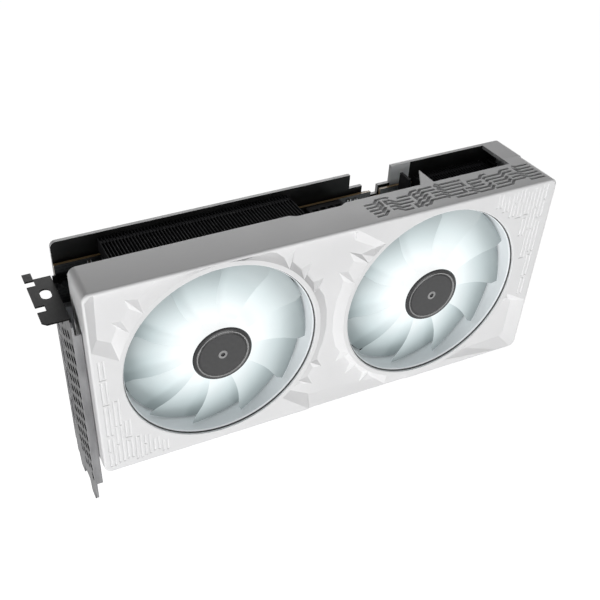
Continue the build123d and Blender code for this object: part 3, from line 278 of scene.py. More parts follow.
def white_shell():
    """Painted plate: white rim and back, and a black face towards the board except for a bare strip."""
    white = (0.80, 0.80, 0.805)
    black = (0.004, 0.004, 0.004)
    made = Shader("white_shell", white, 0.4, Specular_IOR_Level=0.3)
    inward = made.math("LESS_THAN", made.axis(made.normal(), 1), -0.5)
    plate_only = made.math("GREATER_THAN", made.axis(made.place, 1), PLATE_REAR_Y - PLATE_DEPTH)
    x = made.axis(made.place, 0)
    bare_left = made.math("GREATER_THAN", x, PLATE_BARE_X[0])
    bare_right = made.math("LESS_THAN", x, PLATE_BARE_X[1])
    covered = made.math("SUBTRACT", 1.0, made.math("MULTIPLY", bare_left, bare_right))
    dark = made.math("MULTIPLY", made.math("MULTIPLY", inward, plate_only), covered)
    tint = made.ramp(made.noise(70, 4.0), (0.3, tuple(c * 0.985 for c in white)), (0.7, white))
    made.link(made.mix(dark, tint, black), made.bsdf.inputs["Base Color"])
    made.link(made.spread(made.noise(90, 4.0), 0.36, 0.5), made.bsdf.inputs["Roughness"])
    return made.bump(2600, 0.000015).material


def board_laminate():
    """Black solder mask with faint traces, and bare glass laminate on the cut edge."""
    mask = (0.010, 0.011, 0.012)
    laminate = (0.36, 0.24, 0.11)
    made = Shader("board_laminate", mask, 0.35, Coat_Weight=0.3, Coat_Roughness=0.2)
    facing = made.math("ABSOLUTE", made.axis(made.normal(), 1))
    cut = made.math("LESS_THAN", facing, 0.5)
    mapping = made.node("ShaderNodeMapping")
    mapping.inputs["Rotation"].default_value = (math.pi / 2, 0, 0)
    made.link(made.place, mapping.inputs["Vector"])
    brick = made.node("ShaderNodeTexBrick")
    brick.inputs["Scale"].default_value = 160
    brick.inputs["Mortar Size"].default_value = 0.06
    brick.inputs["Color1"].default_value = (0.008, 0.009, 0.010, 1)
    brick.inputs["Color2"].default_value = (0.014, 0.015, 0.017, 1)
    brick.inputs["Mortar"].default_value = (0.032, 0.034, 0.036, 1)
    made.link(mapping.outputs["Vector"], brick.inputs["Vector"])
    darker = tuple(c * 0.8 for c in laminate)
    grain = made.ramp(made.noise(1400, 2.0, (1, 4, 1)), (0.3, darker), (0.7, laminate))
    made.link(made.mix(cut, brick.outputs["Color"], grain), made.bsdf.inputs["Base Color"])
    return made.bump(1800, 0.00001).material


def bracket_steel():
    """Black nickel plate with painted light: a deep black tab as painted shade for its dark reflection, a
    mottled vent face, a paler front flange as a painted reflection of the bright floor, and a plainer foot.
    """
    made = Shader("bracket_steel", (0.05, 0.05, 0.052), 0.38, 0.85)
    height = made.axis(made.place, 2)
    # painted shade: the tab is painted deep black, standing in for the dark reflection on its upper face
    tab = made.math("GREATER_THAN", height, BRACKET_SHADED_TAB_Z)
    foot = made.math("LESS_THAN", height, BRACKET_FOOT_Z)
    # painted reflection: the front flange is painted paler, standing in for the bright floor it reflects
    flange = made.math("LESS_THAN", made.axis(made.place, 1), BRACKET_SHEEN_FLANGE_Y)
    mottle = made.ramp(
        made.noise(520, 4.0, (1, 1, 0.35), 0.6), (0.38, (0.014, 0.014, 0.014)), (0.62, (0.085, 0.085, 0.088)))
    # pale grey of the flange's painted reflection
    pale = made.ramp(
        made.noise(260, 4.0, (1, 1, 0.2)), (0.3, (0.17, 0.17, 0.175)), (0.7, (0.27, 0.27, 0.275)))
    plain = made.ramp(
        made.noise(300, 4.0), (0.3, (0.085, 0.086, 0.09)), (0.7, (0.12, 0.121, 0.125)))
    colour = made.mix(foot, mottle, plain)
    colour = made.mix(flange, colour, pale)
    # the tab's painted shade: near-black over everything above its height
    made.link(made.mix(tab, colour, (0.003, 0.003, 0.003)), made.bsdf.inputs["Base Color"])
    made.link(made.spread(made.noise(420, 4.0), 0.40, 0.5), made.bsdf.inputs["Roughness"])
    return made.bump(2600, 0.000005).material


def metal(name, colour, roughness, scale=900, amount=0.06, stretch=(1, 1, 1)):
    """Plated or bare metal with brushed variation."""
    made = Shader(name, colour, roughness, 1.0)
    made.vary(colour, scale, amount, (roughness * 0.93, roughness * 1.1), stretch)
    return made.bump(scale * 4, 0.000002, stretch).material


def polymer(name, colour, roughness, scale=300, amount=0.12, height=0.00001, specular=0.5):
    """Moulded plastic, rubber or epoxy with fine grain."""
    made = Shader(name, colour, roughness, Specular_IOR_Level=specular)
    made.vary(colour, scale, amount, (roughness * 0.85, min(1.0, roughness * 1.2)))
    return made.bump(scale * 5, height).material


def fan_blades_painted_glow(side):
    """Milky blades with a painted glow, brightest at the hub and fading outwards, that stands in for the
    lamps behind it, over a base colour darkened as painted shade.
    """
    # painted shade: the base colour is darkened for the shade on the blades set back in the duct
    colour = (0.17, 0.195, 0.20)
    made = Shader(f"fan_blades_painted_glow_{side}", colour, 0.35, Coat_Weight=0.15, Coat_Roughness=0.12)
    low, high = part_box(f"{side}_fan_rotor")
    dx = made.math("SUBTRACT", made.axis(made.place, 0), (low.x + high.x) / 2)
    dz = made.math("SUBTRACT", made.axis(made.place, 2), (low.z + high.z) / 2)
    squares = made.math("ADD", made.math("MULTIPLY", dx, dx), made.math("MULTIPLY", dz, dz))
    share = made.math("DIVIDE", made.math("SQRT", squares), (high.x - low.x) / 2)
    # painted glow: emission brightest at the hub and fading outwards stands in for the lamps' light through
    # the blades
    glow = made.ramp(
        share, (0.30, (1.0, 1.0, 1.0)), (0.50, (0.84, 0.90, 0.91)), (0.70, (0.54, 0.61, 0.62)),
        (0.88, (0.24, 0.28, 0.285)), (1.0, (0.10, 0.12, 0.123)))
    made.link(glow, made.bsdf.inputs["Emission Color"])
    made.bsdf.inputs["Emission Strength"].default_value = 0.85
    return made.vary(colour, 120, 0.03, (0.28, 0.38)).bump(1500, 0.000002).material


def lamp_white():
    colour = (0.9, 0.95, 0.95)
    made = Shader("led_lamp", colour, 0.3, Emission_Strength=1.6)
    made.bsdf.inputs["Emission Color"].default_value = (0.86, 0.98, 1.0, 1)
    return made.vary(colour, 500, 0.04).material


def fan_board_painted_glow():
    """Lamp carrier, with a painted glow that stands in for the light of its own lamps washing over it."""
    colour = (0.72, 0.78, 0.78)
    # painted glow: emission on the board, which is no lamp
    made = Shader("fan_board", colour, 0.45, Emission_Strength=0.35)
    made.bsdf.inputs["Emission Color"].default_value = (0.8, 0.95, 0.97, 1)
    return made.vary(colour, 400, 0.08).material


def dress_nodes():
    """Every CAD node that stays in view gets a finished surface."""
    black_chip = polymer("chip_black", (0.018, 0.018, 0.019), 0.5, 700)
    connector = polymer("connector_black", (0.016, 0.016, 0.017), 0.42, 500)
    screw = metal("screw_black", (0.045, 0.045, 0.047), 0.35, 900)
    steel = metal("shaft_steel", (0.55, 0.55, 0.56), 0.25, 900)
    port = metal("port_shell", (0.42, 0.42, 0.43), 0.32, 700)
    fins = polymer("fin_black", (0.006, 0.006, 0.007), 0.75, 500, 0.25, specular=0.12)
    pad = polymer("thermal_pad", (0.34, 0.36, 0.40), 0.85, 900, 0.1, 0.00004)
    pipe = metal("pipe_copper", (0.50, 0.50, 0.51), 0.3, 200, 0.1, (0.1, 1, 1))
    fan_black = polymer("fan_black", (0.020, 0.020, 0.021), 0.45, 400)
    copper = metal("stator_copper", (0.62, 0.27, 0.12), 0.35, 1500, 0.2, (1, 1, 6))
    table = {
        "pcb": board_laminate(), "edge_contacts": metal("contact_gold", (0.83, 0.60, 0.22), 0.22, 1200),
        "gpu_substrate": polymer("substrate", (0.03, 0.10, 0.05), 0.4),
        "gpu_die": metal("silicon", (0.2, 0.21, 0.24), 0.15),
        "memory_chips": black_chip, "memory_thermal_pads": pad, "power_stages": black_chip,
        "power_stage_pads": pad, "power_stage_plate": metal("plate_aluminium", (0.6, 0.6, 0.61), 0.4),
        "power_inductors": polymer("inductor", (0.05, 0.05, 0.052), 0.6, 900, 0.25, 0.00003),
        "capacitors": metal("can_aluminium", (0.62, 0.62, 0.63), 0.3, 900), "power_connector": connector,
        "power_connector_pins": metal("terminal", (0.75, 0.62, 0.35), 0.25, 900),
        "cold_plate": metal("nickel_copper", (0.58, 0.57, 0.55), 0.25),
        "retention_bracket": metal("spring_steel", (0.45, 0.45, 0.46), 0.3),
        "retention_film": polymer("film", (0.02, 0.02, 0.02), 0.6), "retention_screws": screw,
        "io_bracket": bracket_steel(), "bracket_screws": screw, "port_insulators": connector,
        "hdmi_port": port, "backplate": white_shell(), "backplate_pads": pad, "backplate_screws": screw,
        "board_standoffs": metal("standoff_brass", (0.66, 0.47, 0.19), 0.3, 800), "fan_screws": screw,
    }
    for index in range(1, 4):
        table[f"displayport_{index}"] = port
    for index in range(1, 5):
        table[f"heat_pipe_{index}"] = pipe
    for place in ("left", "middle", "right"):
        table[f"fin_stack_{place}"] = fins
    for side in ("left", "right"):
        table[f"{side}_fan_magnet"] = polymer("magnet", (0.05, 0.05, 0.055), 0.55, 900)
        table[f"{side}_fan_shaft"] = steel
        table[f"{side}_fan_bearing"] = metal("bearing_bronze", (0.55, 0.36, 0.16), 0.35, 900)
        table[f"{side}_fan_frame"] = fan_black
        table[f"{side}_fan_stator"] = copper
        table[f"{side}_fan_board"] = fan_board_painted_glow()
        table[f"{side}_fan_leds"] = lamp_white()
        table[f"{side}_fan_cable"] = polymer("cable_black", (0.015, 0.015, 0.016), 0.5, 900)
        table[f"{side}_fan_header"] = polymer("header_white", (0.7, 0.69, 0.64), 0.45)
    for name, material in table.items():
        data = NODES[name].data
        data.materials.clear()
        data.materials.append(material)


# -------- mesh helpers
def add_object(name, data):
    made = bpy.data.objects.new(name, data)
    bpy.context.scene.collection.objects.link(made)
    return made


def add_piece(name, mesh, body, materials, smooth=0):
    """Turns a bmesh into a named piece that rides on a body; smooth is the angle of its sharp edges."""
    data = bpy.data.meshes.new(name)
    bmesh.ops.recalc_face_normals(mesh, faces=mesh.faces)
    mesh.to_mesh(data)
    mesh.free()
    for material in materials:
        data.materials.append(material)
    piece = add_object(name, data)
    if smooth:
        data.shade_smooth()
        data.set_sharp_from_angle(angle=math.radians(smooth))
    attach(piece, body)
    return piece


def at(u, v, depth):
    """Point from shroud millimetres: u along the card, v up, depth behind the front face."""
    return Vector((SHROUD_LOW.x + u * MM, FRONT_Y + depth * MM, SHROUD_LOW.z + v * MM))


def ring_point(centre, radius, angle):
    turn = math.radians(angle)
    return centre[0] + radius * math.cos(turn), centre[1] + radius * math.sin(turn)


def circle(centre, radius):
    return [ring_point(centre, radius, 360 * i / CIRCLE_STEPS) for i in range(CIRCLE_STEPS)]


def strip(mesh, first, second, material=0):
    """Quads between two closed rows of as many vertices."""
    count = len(first)
    for i in range(count):
        j = (i + 1) % count
        face = mesh.faces.new((first[i], first[j], second[j], second[i]))
        face.material_index = material


def fill(mesh, vertices, faces):
    """Faces from lists of vertex numbers."""
    return [mesh.faces.new([vertices[i] for i in face]) for face in faces]


def lathe(mesh, centre, front, profile):
    """Closed ring about a Y axis through (x, z), from (radius, depth, material) in millimetres."""
    rows = []
    for radius, depth, _ in profile:
        row = []
        for i in range(LATHE_STEPS):
            turn = 2 * math.pi * i / LATHE_STEPS
            x = centre[0] + radius * MM * math.cos(turn)
            z = centre[1] + radius * MM * math.sin(turn)
            row.append(mesh.verts.new((x, front + depth * MM, z)))
        rows.append(row)
    for index, (_, _, material) in enumerate(profile):
        strip(mesh, rows[index], rows[(index + 1) % len(rows)], material)


# -------- engraved strokes
def stroke_outline(points, half):
    """Outline of a polyline with mitred corners and square ends."""
    left, right = [], []
    last = len(points) - 1
    for i, point in enumerate(points):
        here = Vector(point)
        before = (here - Vector(points[i - 1])).normalized() if i else None
        after = (Vector(points[i + 1]) - here).normalized() if i < last else None
        along = (before or after) if not (before and after) else (before + after).normalized()
        side = Vector((-along.y, along.x))
        reach = half
        if before and after:
            reach = half / max(MITRE_LIMIT, side.dot(Vector((-before.y, before.x))))
        push = Vector((0, 0))
        if not before:
            push = -along * half
        if not after:
            push = along * half
        left.append(tuple(here + side * reach + push))
        right.append(tuple(here - side * reach + push))
    return left + right[::-1]


class Relief:
    """Planar outline with depths, filled by a constrained triangulation."""

    def __init__(self):
        self.points, self.depths, self.edges = [], [], []

    def add(self, points, depth, closed=False):
        """Line through the points, at one depth or at a list with one depth for each."""
        start = len(self.points)
        for index, point in enumerate(points):
            self.points.append(Vector(point))
            self.depths.append(depth[index] if isinstance(depth, list) else depth)
        end = start + len(points) - 1
        self.edges += [(i, i + 1) for i in range(start, end)]
        if closed:
            self.edges.append((end, start))

    def crease(self, first, second, depth_first, depth_second):
        self.add([first, second], [depth_first, depth_second])

    def engrave(self, stroke, width, depth):
        self.add(stroke_outline(stroke, width / 2 + GROOVE_EDGE), 0.0, closed=True)
        self.add(stroke_outline(stroke, width / 2), depth, closed=True)

    def triangles(self, keep):
        """Vertices (u, v, depth) and triangles whose middle passes the keep test."""
        places, _, faces, origin, _, _ = delaunay_2d_cdt(self.points, self.edges, [], 0, 1e-5)
        depths = []
        for sources in origin:
            known = [self.depths[i] for i in sources]
            depths.append(max(known) if known else 0.0)
        kept = []
        for face in faces:
            middle = sum((places[i] for i in face), Vector((0, 0))) / len(face)
            if keep(middle):
                kept.append(face)
        return [(p.x, p.y, d) for p, d in zip(places, depths)], kept


# -------- shroud relief, in shroud millimetres
TOP_RIM = SHROUD_H - 1.7
LOW_RIM = 1.8
CORNER_FLOOR = [
    (5.9, TOP_RIM), (34.5, TOP_RIM), (29.7, 102.1), (24.7, 97.5), (18.8, 99.2), (20.5, 93.8), (16.3, 88.3),
    (11.8, 88.8), (14.3, 85.8), (11.0, 78.0), (4.9, 81.7),
]
CORNER_CREASES = [
    (135.8, (18.8, 99.2)), (135.8, (20.5, 93.8)), (135.8, (24.7, 97.5)), (148.3, (11.8, 88.8)),
    (148.3, (16.3, 88.3)), (148.3, (14.3, 85.8)), (164.8, (11.0, 78.0)), (121.5, (29.7, 102.1)),
]
BEVEL_HIGH_V = 77.1
VALLEY_UPPER = [
    (72.0, TOP_RIM), (84.7, 105.9), (90.5, 103.8), (94.6, 100.0), (99.7, 103.0), (98.8, 96.8),
    (103.6, 91.2), (109.3, 93.8), (106.8, 87.2), (110.6, 81.6), (115.9, 82.9), (113.8, 77.4),
]
VALLEY_ARC = (56.5, (18, 8, -2, -12, -20))
VALLEY_LOWER = [
    (115.8, 32.2), (118.6, 26.7), (113.6, 27.4), (111.0, 22.4), (114.0, 16.2), (107.2, 19.2), (99.6, 17.3),
    (111.3, 10.4), (112.2, LOW_RIM),
]
VALLEY_CREASES = [
    (50.2, (99.7, 103.0)), (50.2, (94.6, 100.0)), (50.2, (98.8, 96.8)), (37.5, (109.3, 93.8)),
    (37.5, (103.6, 91.2)), (37.5, (106.8, 87.2)), (25.6, (115.9, 82.9)), (25.6, (110.6, 81.6)),
    (25.6, (113.8, 77.4)), (-24.0, (118.6, 26.7)), (-24.0, (115.8, 32.2)), (-24.0, (113.6, 27.4)),
    (-37.4, (114.0, 16.2)), (-37.4, (111.0, 22.4)), (-37.4, (107.2, 19.2)),
]
STEP_ANGLE = -54.1
STEP_FOOT_U = 111.8
STEP_RUN = 0.4
VALLEY_END_U = 170.8
VALLEY_END_RUN = 1.5
VALLEY_LIP = 0.5
VALLEY_RAMP = [(112.4, 9.2), (127.0, 9.4), (139.5, 9.2), (143.1, 7.0)]
POCKET_ARC = (55.0, (-22, -30, -38, -46, -54))
POCKET_OUTER = [(210.5, 7.9), (233.8, 8.8), (236.2, 11.5), (236.2, 33.6), (234.2, 35.0)]
POCKET_STEP = (-15.0, 33.3)
BAR_STEP = 0.02
SNAP_LOW = 4.2
SNAP_HIGH = 1.0

# labyrinth of grooves: clear of the opening's lip, the bevel above it and the step to the right of it
MAZE_LIP_GAP = 1.9
MAZE_TOP = 99
MAZE_BEVEL = (3.0, 0.72, 30)  # gap, slope, last u
MAZE_STEP = (93.0, 10.5, 0.67, 90)  # a point (u, v) of the limit, slope, first u
MAZE_SEED = 11
MAZE_PITCH = 2.25
MAZE_START = (3.6, 4.4)
MAZE_PAIRS = 14
MAZE_STAGGER = 1.1
MAZE_RUN = (10, 27)
MAZE_LEAST_RUN = 3
MAZE_BREAK = 1.2
MAZE_GAPS = (2.2, 3.0)


def mirrored(point):
    """The relief repeats half a turn about the middle between the fans; its rims snap to the border's."""
    u = MIRROR_U - point[0]
    v = MIRROR_V - point[1]
    if v < SNAP_LOW:
        v = LOW_RIM
    if v > TOP_RIM - SNAP_HIGH:
        v = TOP_RIM
    return u, v


def outline_breaks():
    """Places on the face's border where a crease or a step of the rear edge meets it."""
    step_top = (mirrored((STEP_FOOT_U, 0))[0], "top")
    bar = SHROUD_W - END_BAR
    notch = [(u, "top") for u in
             (NOTCH_U[0] - NOTCH_SLOPE, NOTCH_U[0], NOTCH_U[1], NOTCH_U[1] + NOTCH_SLOPE)]
    mouth = [(u, "bottom") for u in
             (STEP_FOOT_U, STEP_FOOT_U + STEP_RUN, VALLEY_END_U, VALLEY_END_U + VALLEY_END_RUN)]
    return [step_top, (bar, "top"), (bar + BAR_STEP, "top"), (bar, "bottom"), (bar + BAR_STEP, "bottom"),
            (BEVEL_HIGH_V, "left"), (POCKET_STEP[1], "right")] + notch + mouth


def outline(inset, radius):
    """Rounded border of the shroud, anticlockwise from the lower edge, with as many points at every inset."""
    low, right, high = inset, SHROUD_W - inset, SHROUD_H - inset
    radius = max(radius, 0.05)
    breaks = outline_breaks()
    loop = []
    corners = (
        ((right - radius, low + radius), -90, "bottom"), ((right - radius, high - radius), 0, "right"),
        ((low + radius, high - radius), 90, "top"), ((low + radius, low + radius), 180, "left"),
    )
    for centre, start, edge in corners:
        places = sorted(p for p, side in breaks if side == edge)
        if edge in ("top", "left"):
            places.reverse()
        across = {"bottom": low, "right": right, "top": high, "left": low}[edge]
        flat = edge in ("top", "bottom")
        loop += [(place, across) if flat else (across, place) for place in places]
        for step in range(CORNER_STEPS):
            loop.append(ring_point(centre, radius, start + 90 * step / (CORNER_STEPS - 1)))
    return loop


def front_depth(u, v):
    """Depth of the face's border: the valley between the fans runs out at the lower edge."""
    open_end = STEP_FOOT_U + STEP_RUN / 2 < u < VALLEY_END_U + VALLEY_END_RUN / 2
    return VALLEY_LIP if open_end and v < SHROUD_H / 2 else 0.0


def rear_depth(u, v):
    """Depth of the side walls' rear edge at a place on the border."""
    if u > SHROUD_W - END_BAR + BAR_STEP / 2:
        return END_DEPTH
    if v > SHROUD_H / 2 and NOTCH_U[0] - NOTCH_SLOPE < u < NOTCH_U[1] + NOTCH_SLOPE:
        rise = (u - NOTCH_U[0] + NOTCH_SLOPE) / NOTCH_SLOPE
        fall = (NOTCH_U[1] + NOTCH_SLOPE - u) / NOTCH_SLOPE
        return SIDE_DEPTH - NOTCH_DEPTH * min(1.0, rise, fall)
    return SIDE_DEPTH


def fan_distance(point, centre):
    return math.hypot(point[0] - centre[0], point[1] - centre[1])


def axis_distance(point):
    """Distance to the nearer fan's axis."""
    return min(fan_distance(point, FAN_LEFT), fan_distance(point, FAN_RIGHT))


def maze_strokes():
    """Generic labyrinth of straight runs, breaks and turns, for the raised area at the lower left."""
    draw = random.Random(MAZE_SEED)

    def inside(u, v):
        limit = MAZE_TOP
        if u < MAZE_BEVEL[2]:
            limit = BEVEL_HIGH_V - MAZE_BEVEL[0] - (u - EDGE_R) * MAZE_BEVEL[1]
        if u > MAZE_STEP[3]:
            limit = MAZE_STEP[1] - (u - MAZE_STEP[0]) * MAZE_STEP[2]
        return fan_distance((u, v), FAN_LEFT) > LIP_R + MAZE_LIP_GAP and v < limit

    strokes = []
    for pair in range(MAZE_PAIRS):
        near = MAZE_START[0] + 2 * pair * MAZE_PITCH
        far = near + MAZE_PITCH
        v = MAZE_START[1] + (pair % 3) * MAZE_STAGGER
        while v < BEVEL_HIGH_V:
            top = v + draw.uniform(*MAZE_RUN)
            kind = draw.random()
            while top > v + MAZE_LEAST_RUN and not (inside(near, top) and inside(far, top)):
                top -= 0.5
            if top <= v + MAZE_LEAST_RUN or not inside(near, v) or not inside(far, v):
                v += 1.5
                continue
            if kind < 0.3:
                strokes.append([(near, v), (near, top), (far, top), (far, v)])
            elif kind < 0.55:
                strokes.append([(near, top), (near, v), (far, v), (far, top)])
            elif kind < 0.75:
                middle = (v + top) / 2
                strokes.append([(near, v), (near, middle - MAZE_BREAK)])
                strokes.append([(near, middle + MAZE_BREAK), (near, top)])
                strokes.append([(far, v), (far, top)])
            else:
                strokes += [[(near, v), (near, top)], [(far, v), (far, top)]]
            v = top + draw.choice(MAZE_GAPS)
    return strokes


def face_relief():
    """Front face: facets and valley round the openings, and the labyrinth in the two raised areas."""
    relief = Relief()
    border = outline(EDGE_R, CORNER_R - EDGE_R)
    relief.add(border, [front_depth(u, v) for u, v in border], closed=True)
    for centre in (FAN_LEFT, FAN_RIGHT):
        relief.add(circle(centre, OPENING_R + OPENING_ROUND), 0.0, closed=True)
    for centre, turn in ((FAN_LEFT, 0), (FAN_RIGHT, 180)):
        angles = [STEP_ANGLE] + [a for a, _ in CORNER_CREASES + VALLEY_CREASES]
        if turn:
            angles = [a for a in angles if a < 90] + [POCKET_STEP[0] - 180]
        marks = {round(i * 360 / CIRCLE_STEPS, 3) for i in range(CIRCLE_STEPS)}
        marks = sorted(marks | {round((a + turn) % 360, 3) for a in angles})
        relief.add([ring_point(centre, LIP_R, a) for a in marks], 0.0, closed=True)
    relief.add(CORNER_FLOOR, FLOOR, closed=True)
    for angle, point in CORNER_CREASES:
        relief.crease(ring_point(FAN_LEFT, LIP_R, angle), point, 0.0, FLOOR)
    relief.crease((EDGE_R, BEVEL_HIGH_V), (4.9, 81.7), 0.0, FLOOR)
    relief.crease((EDGE_R, BEVEL_HIGH_V), ring_point(FAN_LEFT, LIP_R, 164.8), 0.0, 0.0)
    half = VALLEY_UPPER + [ring_point(FAN_LEFT, VALLEY_ARC[0], a) for a in VALLEY_ARC[1]] + VALLEY_LOWER
    valley = half + [mirrored(p) for p in half]
    relief.add(valley, [VALLEY_LIP if v == LOW_RIM else FLOOR for _, v in valley], closed=True)
    relief.add(VALLEY_RAMP, FLOOR)
    for angle, point in VALLEY_CREASES:
        relief.crease(ring_point(FAN_LEFT, LIP_R, angle), point, 0.0, FLOOR)
        relief.crease(ring_point(FAN_RIGHT, LIP_R, angle + 180), mirrored(point), 0.0, FLOOR)
    relief.crease(ring_point(FAN_LEFT, LIP_R, STEP_ANGLE), (STEP_FOOT_U, EDGE_R), 0.0, 0.0)
    top_foot = (mirrored((STEP_FOOT_U, 0))[0], SHROUD_H - EDGE_R)
    relief.crease(ring_point(FAN_RIGHT, LIP_R, STEP_ANGLE + 180), top_foot, 0.0, 0.0)
    pocket = [ring_point(FAN_RIGHT, POCKET_ARC[0], a) for a in POCKET_ARC[1]] + POCKET_OUTER
    relief.add(pocket, FLOOR, closed=True)
    pocket_end = ring_point(FAN_RIGHT, LIP_R, POCKET_STEP[0])
    relief.crease((SHROUD_W - EDGE_R, POCKET_STEP[1]), pocket_end, 0.0, 0.0)
    for stroke in maze_strokes():
        relief.engrave(stroke, GROOVE_WIDTH, GROOVE)
        relief.engrave([(MIRROR_U - u, MIRROR_V - v) for u, v in stroke], GROOVE_WIDTH, GROOVE)

    def on_face(point):
        if axis_distance(point) <= OPENING_R + OPENING_ROUND - TOUCH or not in_corner(point):
            return False
        return EDGE_R < point.x < SHROUD_W - EDGE_R and EDGE_R < point.y < SHROUD_H - EDGE_R

    return relief.triangles(on_face)


def in_corner(point):
    """False in the four corners outside the border's round."""
    u = min(point.x, SHROUD_W - point.x)
    v = min(point.y, SHROUD_H - point.y)
    if u > CORNER_R or v > CORNER_R:
        return True
    return math.hypot(CORNER_R - u, CORNER_R - v) < CORNER_R - EDGE_R + 0.001


# -------- engraved top, in (u, depth) millimetres
TOP_JOGS = (
    (148.5, 1), (156.5, -1), (168.0, 1), (173.0, 1), (184.0, -1), (199.0, -1), (209.0, 1), (221.0, 1),
    (230.0, -1),
)
TOP_SEED = 5
TOP_LEAST_RUN = 0.3
TOP_RUN = (6, 19)
TOP_GAPS = (2.6, 3.4)
TOP_ROW_PITCH = 2.75
TOP_ROW_FIRST = 4.9
TOP_ROWS = range(-4, 10, 2)
TOP_START_U = 143.5
TOP_END_U = 239.6
TOP_DEPTHS = (4.4, 20.4)
TOP_GROOVE_WIDTH = 1.4
TOP_GROOVE = 0.55


def top_place(row, u):
    """Point on a row of the engraving: every row makes the same jogs, so the rows never meet."""
    depth = TOP_ROW_FIRST + row * TOP_ROW_PITCH
    for start, way in TOP_JOGS:
        depth += way * min(max(u - start, 0.0), TOP_ROW_PITCH)
    return u, depth


def top_run(row, start, end):
    """Row points from start to end, with the corners of the jogs between them."""
    bends = [u for begin, _ in TOP_JOGS for u in (begin, begin + TOP_ROW_PITCH)]
    bends = [u for u in bends if start + TOP_LEAST_RUN < u < end - TOP_LEAST_RUN]
    return [top_place(row, u) for u in [start] + bends + [end]]


def top_strokes():
    """Generic traces in pairs of rows: plain runs, turned ends and broken runs."""
    draw = random.Random(TOP_SEED)

    def inside(row, start, end):
        return all(TOP_DEPTHS[0] < depth < TOP_DEPTHS[1] for _, depth in top_run(row, start, end))

    strokes = []
    for row in TOP_ROWS:
        u = TOP_START_U + draw.uniform(0, 3)
        while u < TOP_END_U - 4:
            end = min(u + draw.uniform(*TOP_RUN), TOP_END_U)
            kind = draw.random()
            near, far = inside(row, u, end), inside(row + 1, u, end)
            one, two = top_run(row, u, end), top_run(row + 1, u, end)
            if not near and not far:
                u += 1.5
                continue
            if near and far and kind < 0.35:
                strokes.append(one + two[::-1])
            elif near and far and kind < 0.6:
                strokes.append(one[::-1] + two)
            else:
                strokes += [run for run, kept in ((one, near), (two, far)) if kept]
            u = end + draw.choice(TOP_GAPS)
    return strokes


def top_relief(top_points, rear_points):
    """Flat top wall between its front border and the stepped rear edge, with the engraving."""
    relief = Relief()
    relief.add(top_points + rear_points[::-1], 0.0, closed=True)
    for stroke in top_strokes():
        relief.engrave(stroke, TOP_GROOVE_WIDTH, TOP_GROOVE)
    low_u = min(p[0] for p in top_points)
    high_u = max(p[0] for p in top_points)

    def on_wall(point):
        return low_u < point.x < high_u and EDGE_R < point.y < rear_depth(point.x, SHROUD_H)

    return relief.triangles(on_wall)


# fan duct from the face back: (radius beyond the opening's, depth, material)
# materials of the shroud: 0 white, 1 engraving, 2 duct with a painted glow, 3 gap ring with painted shade
DUCT_PROFILE = (
    (OPENING_ROUND, 0.0, 0), (0.13, 0.13, 0), (0.0, OPENING_ROUND, 0), (0.0, GAP_RING[0], 3),
    (0.5, GAP_RING[0] + 0.1, 3), (0.5, GAP_RING[1], 3), (-0.5, GAP_RING[1] + 0.1, 2),
    (-0.9, GAP_RING[1] + 0.8, 2), (-0.9, DUCT_DEPTH, 2), (DUCT_OUTER_R - OPENING_R, DUCT_DEPTH, 2),
    (DUCT_OUTER_R - OPENING_R, FACE_BACK, 2),
)


def shroud_face(mesh):
    """Relief face and the rounded edge behind its border; gives back the edge's last row."""
    places, faces = face_relief()
    fill(mesh, [mesh.verts.new(at(*place)) for place in places], faces)
    rows = []
    for step in range(EDGE_STEPS + 1):
        turn = math.pi / 2 * step / EDGE_STEPS
        inset = EDGE_R * (1 - math.sin(turn))
        depth = EDGE_R * (1 - math.cos(turn))
        loop = outline(inset, CORNER_R - inset)
        rows.append([mesh.verts.new(at(u, v, front_depth(u, v) + depth)) for u, v in loop])
    for first, second in zip(rows, rows[1:]):
        strip(mesh, first, second)
    return rows[-1]


def shroud_walls(mesh, front):
    """Walls from the rounded edge to the rear edge and back inside; gives back the open top's border."""
    border = outline(0, CORNER_R)
    inner_border = outline(WALL, CORNER_R - WALL)
    depths = [rear_depth(u, v) for u, v in border]
    rear = [mesh.verts.new(at(u, v, d)) for (u, v), d in zip(border, depths)]
    inner_rear = [mesh.verts.new(at(u, v, d)) for (u, v), d in zip(inner_border, depths)]
    inner_front = [mesh.verts.new(at(u, v, FACE_BACK)) for u, v in inner_border]
    on_top = [abs(v - SHROUD_H) < 1e-6 for _, v in border]
    for i in range(len(border)):
        j = (i + 1) % len(border)
        if not (on_top[i] and on_top[j]):
            mesh.faces.new((front[i], front[j], rear[j], rear[i]))
    strip(mesh, rear, inner_rear)
    strip(mesh, inner_rear, inner_front)
    return [point for point, above in zip(border, on_top) if above]


def shroud_top(mesh, border):
    """Engraved top wall behind the stretch of the border that lies on top."""
    rear = [(u, rear_depth(u, v)) for u, v in border]
    places, faces = top_relief([(u, EDGE_R) for u, _ in border], rear)
    vertices = [mesh.verts.new(at(u, SHROUD_H - sunk, depth)) for u, depth, sunk in places]
    for face, made in zip(faces, fill(mesh, vertices, faces)):
        sunk = sum(places[i][2] for i in face) / len(face)
        made.material_index = 1 if sunk > 0.9 * TOP_GROOVE else 0


def shroud_back(mesh):
    """Inner side of the front wall, with holes for the ducts."""
    back = Relief()
    back.add(outline(WALL, CORNER_R - WALL), 0.0, closed=True)
    for centre in (FAN_LEFT, FAN_RIGHT):
        back.add(circle(centre, DUCT_OUTER_R), 0.0, closed=True)

    def on_back(point):
        outside = axis_distance(point) > DUCT_OUTER_R - TOUCH
        return outside and WALL < point.x < SHROUD_W - WALL and WALL < point.y < SHROUD_H - WALL

    places, faces = back.triangles(on_back)
    fill(mesh, [mesh.verts.new(at(u, v, FACE_BACK)) for u, v, _ in places], faces)


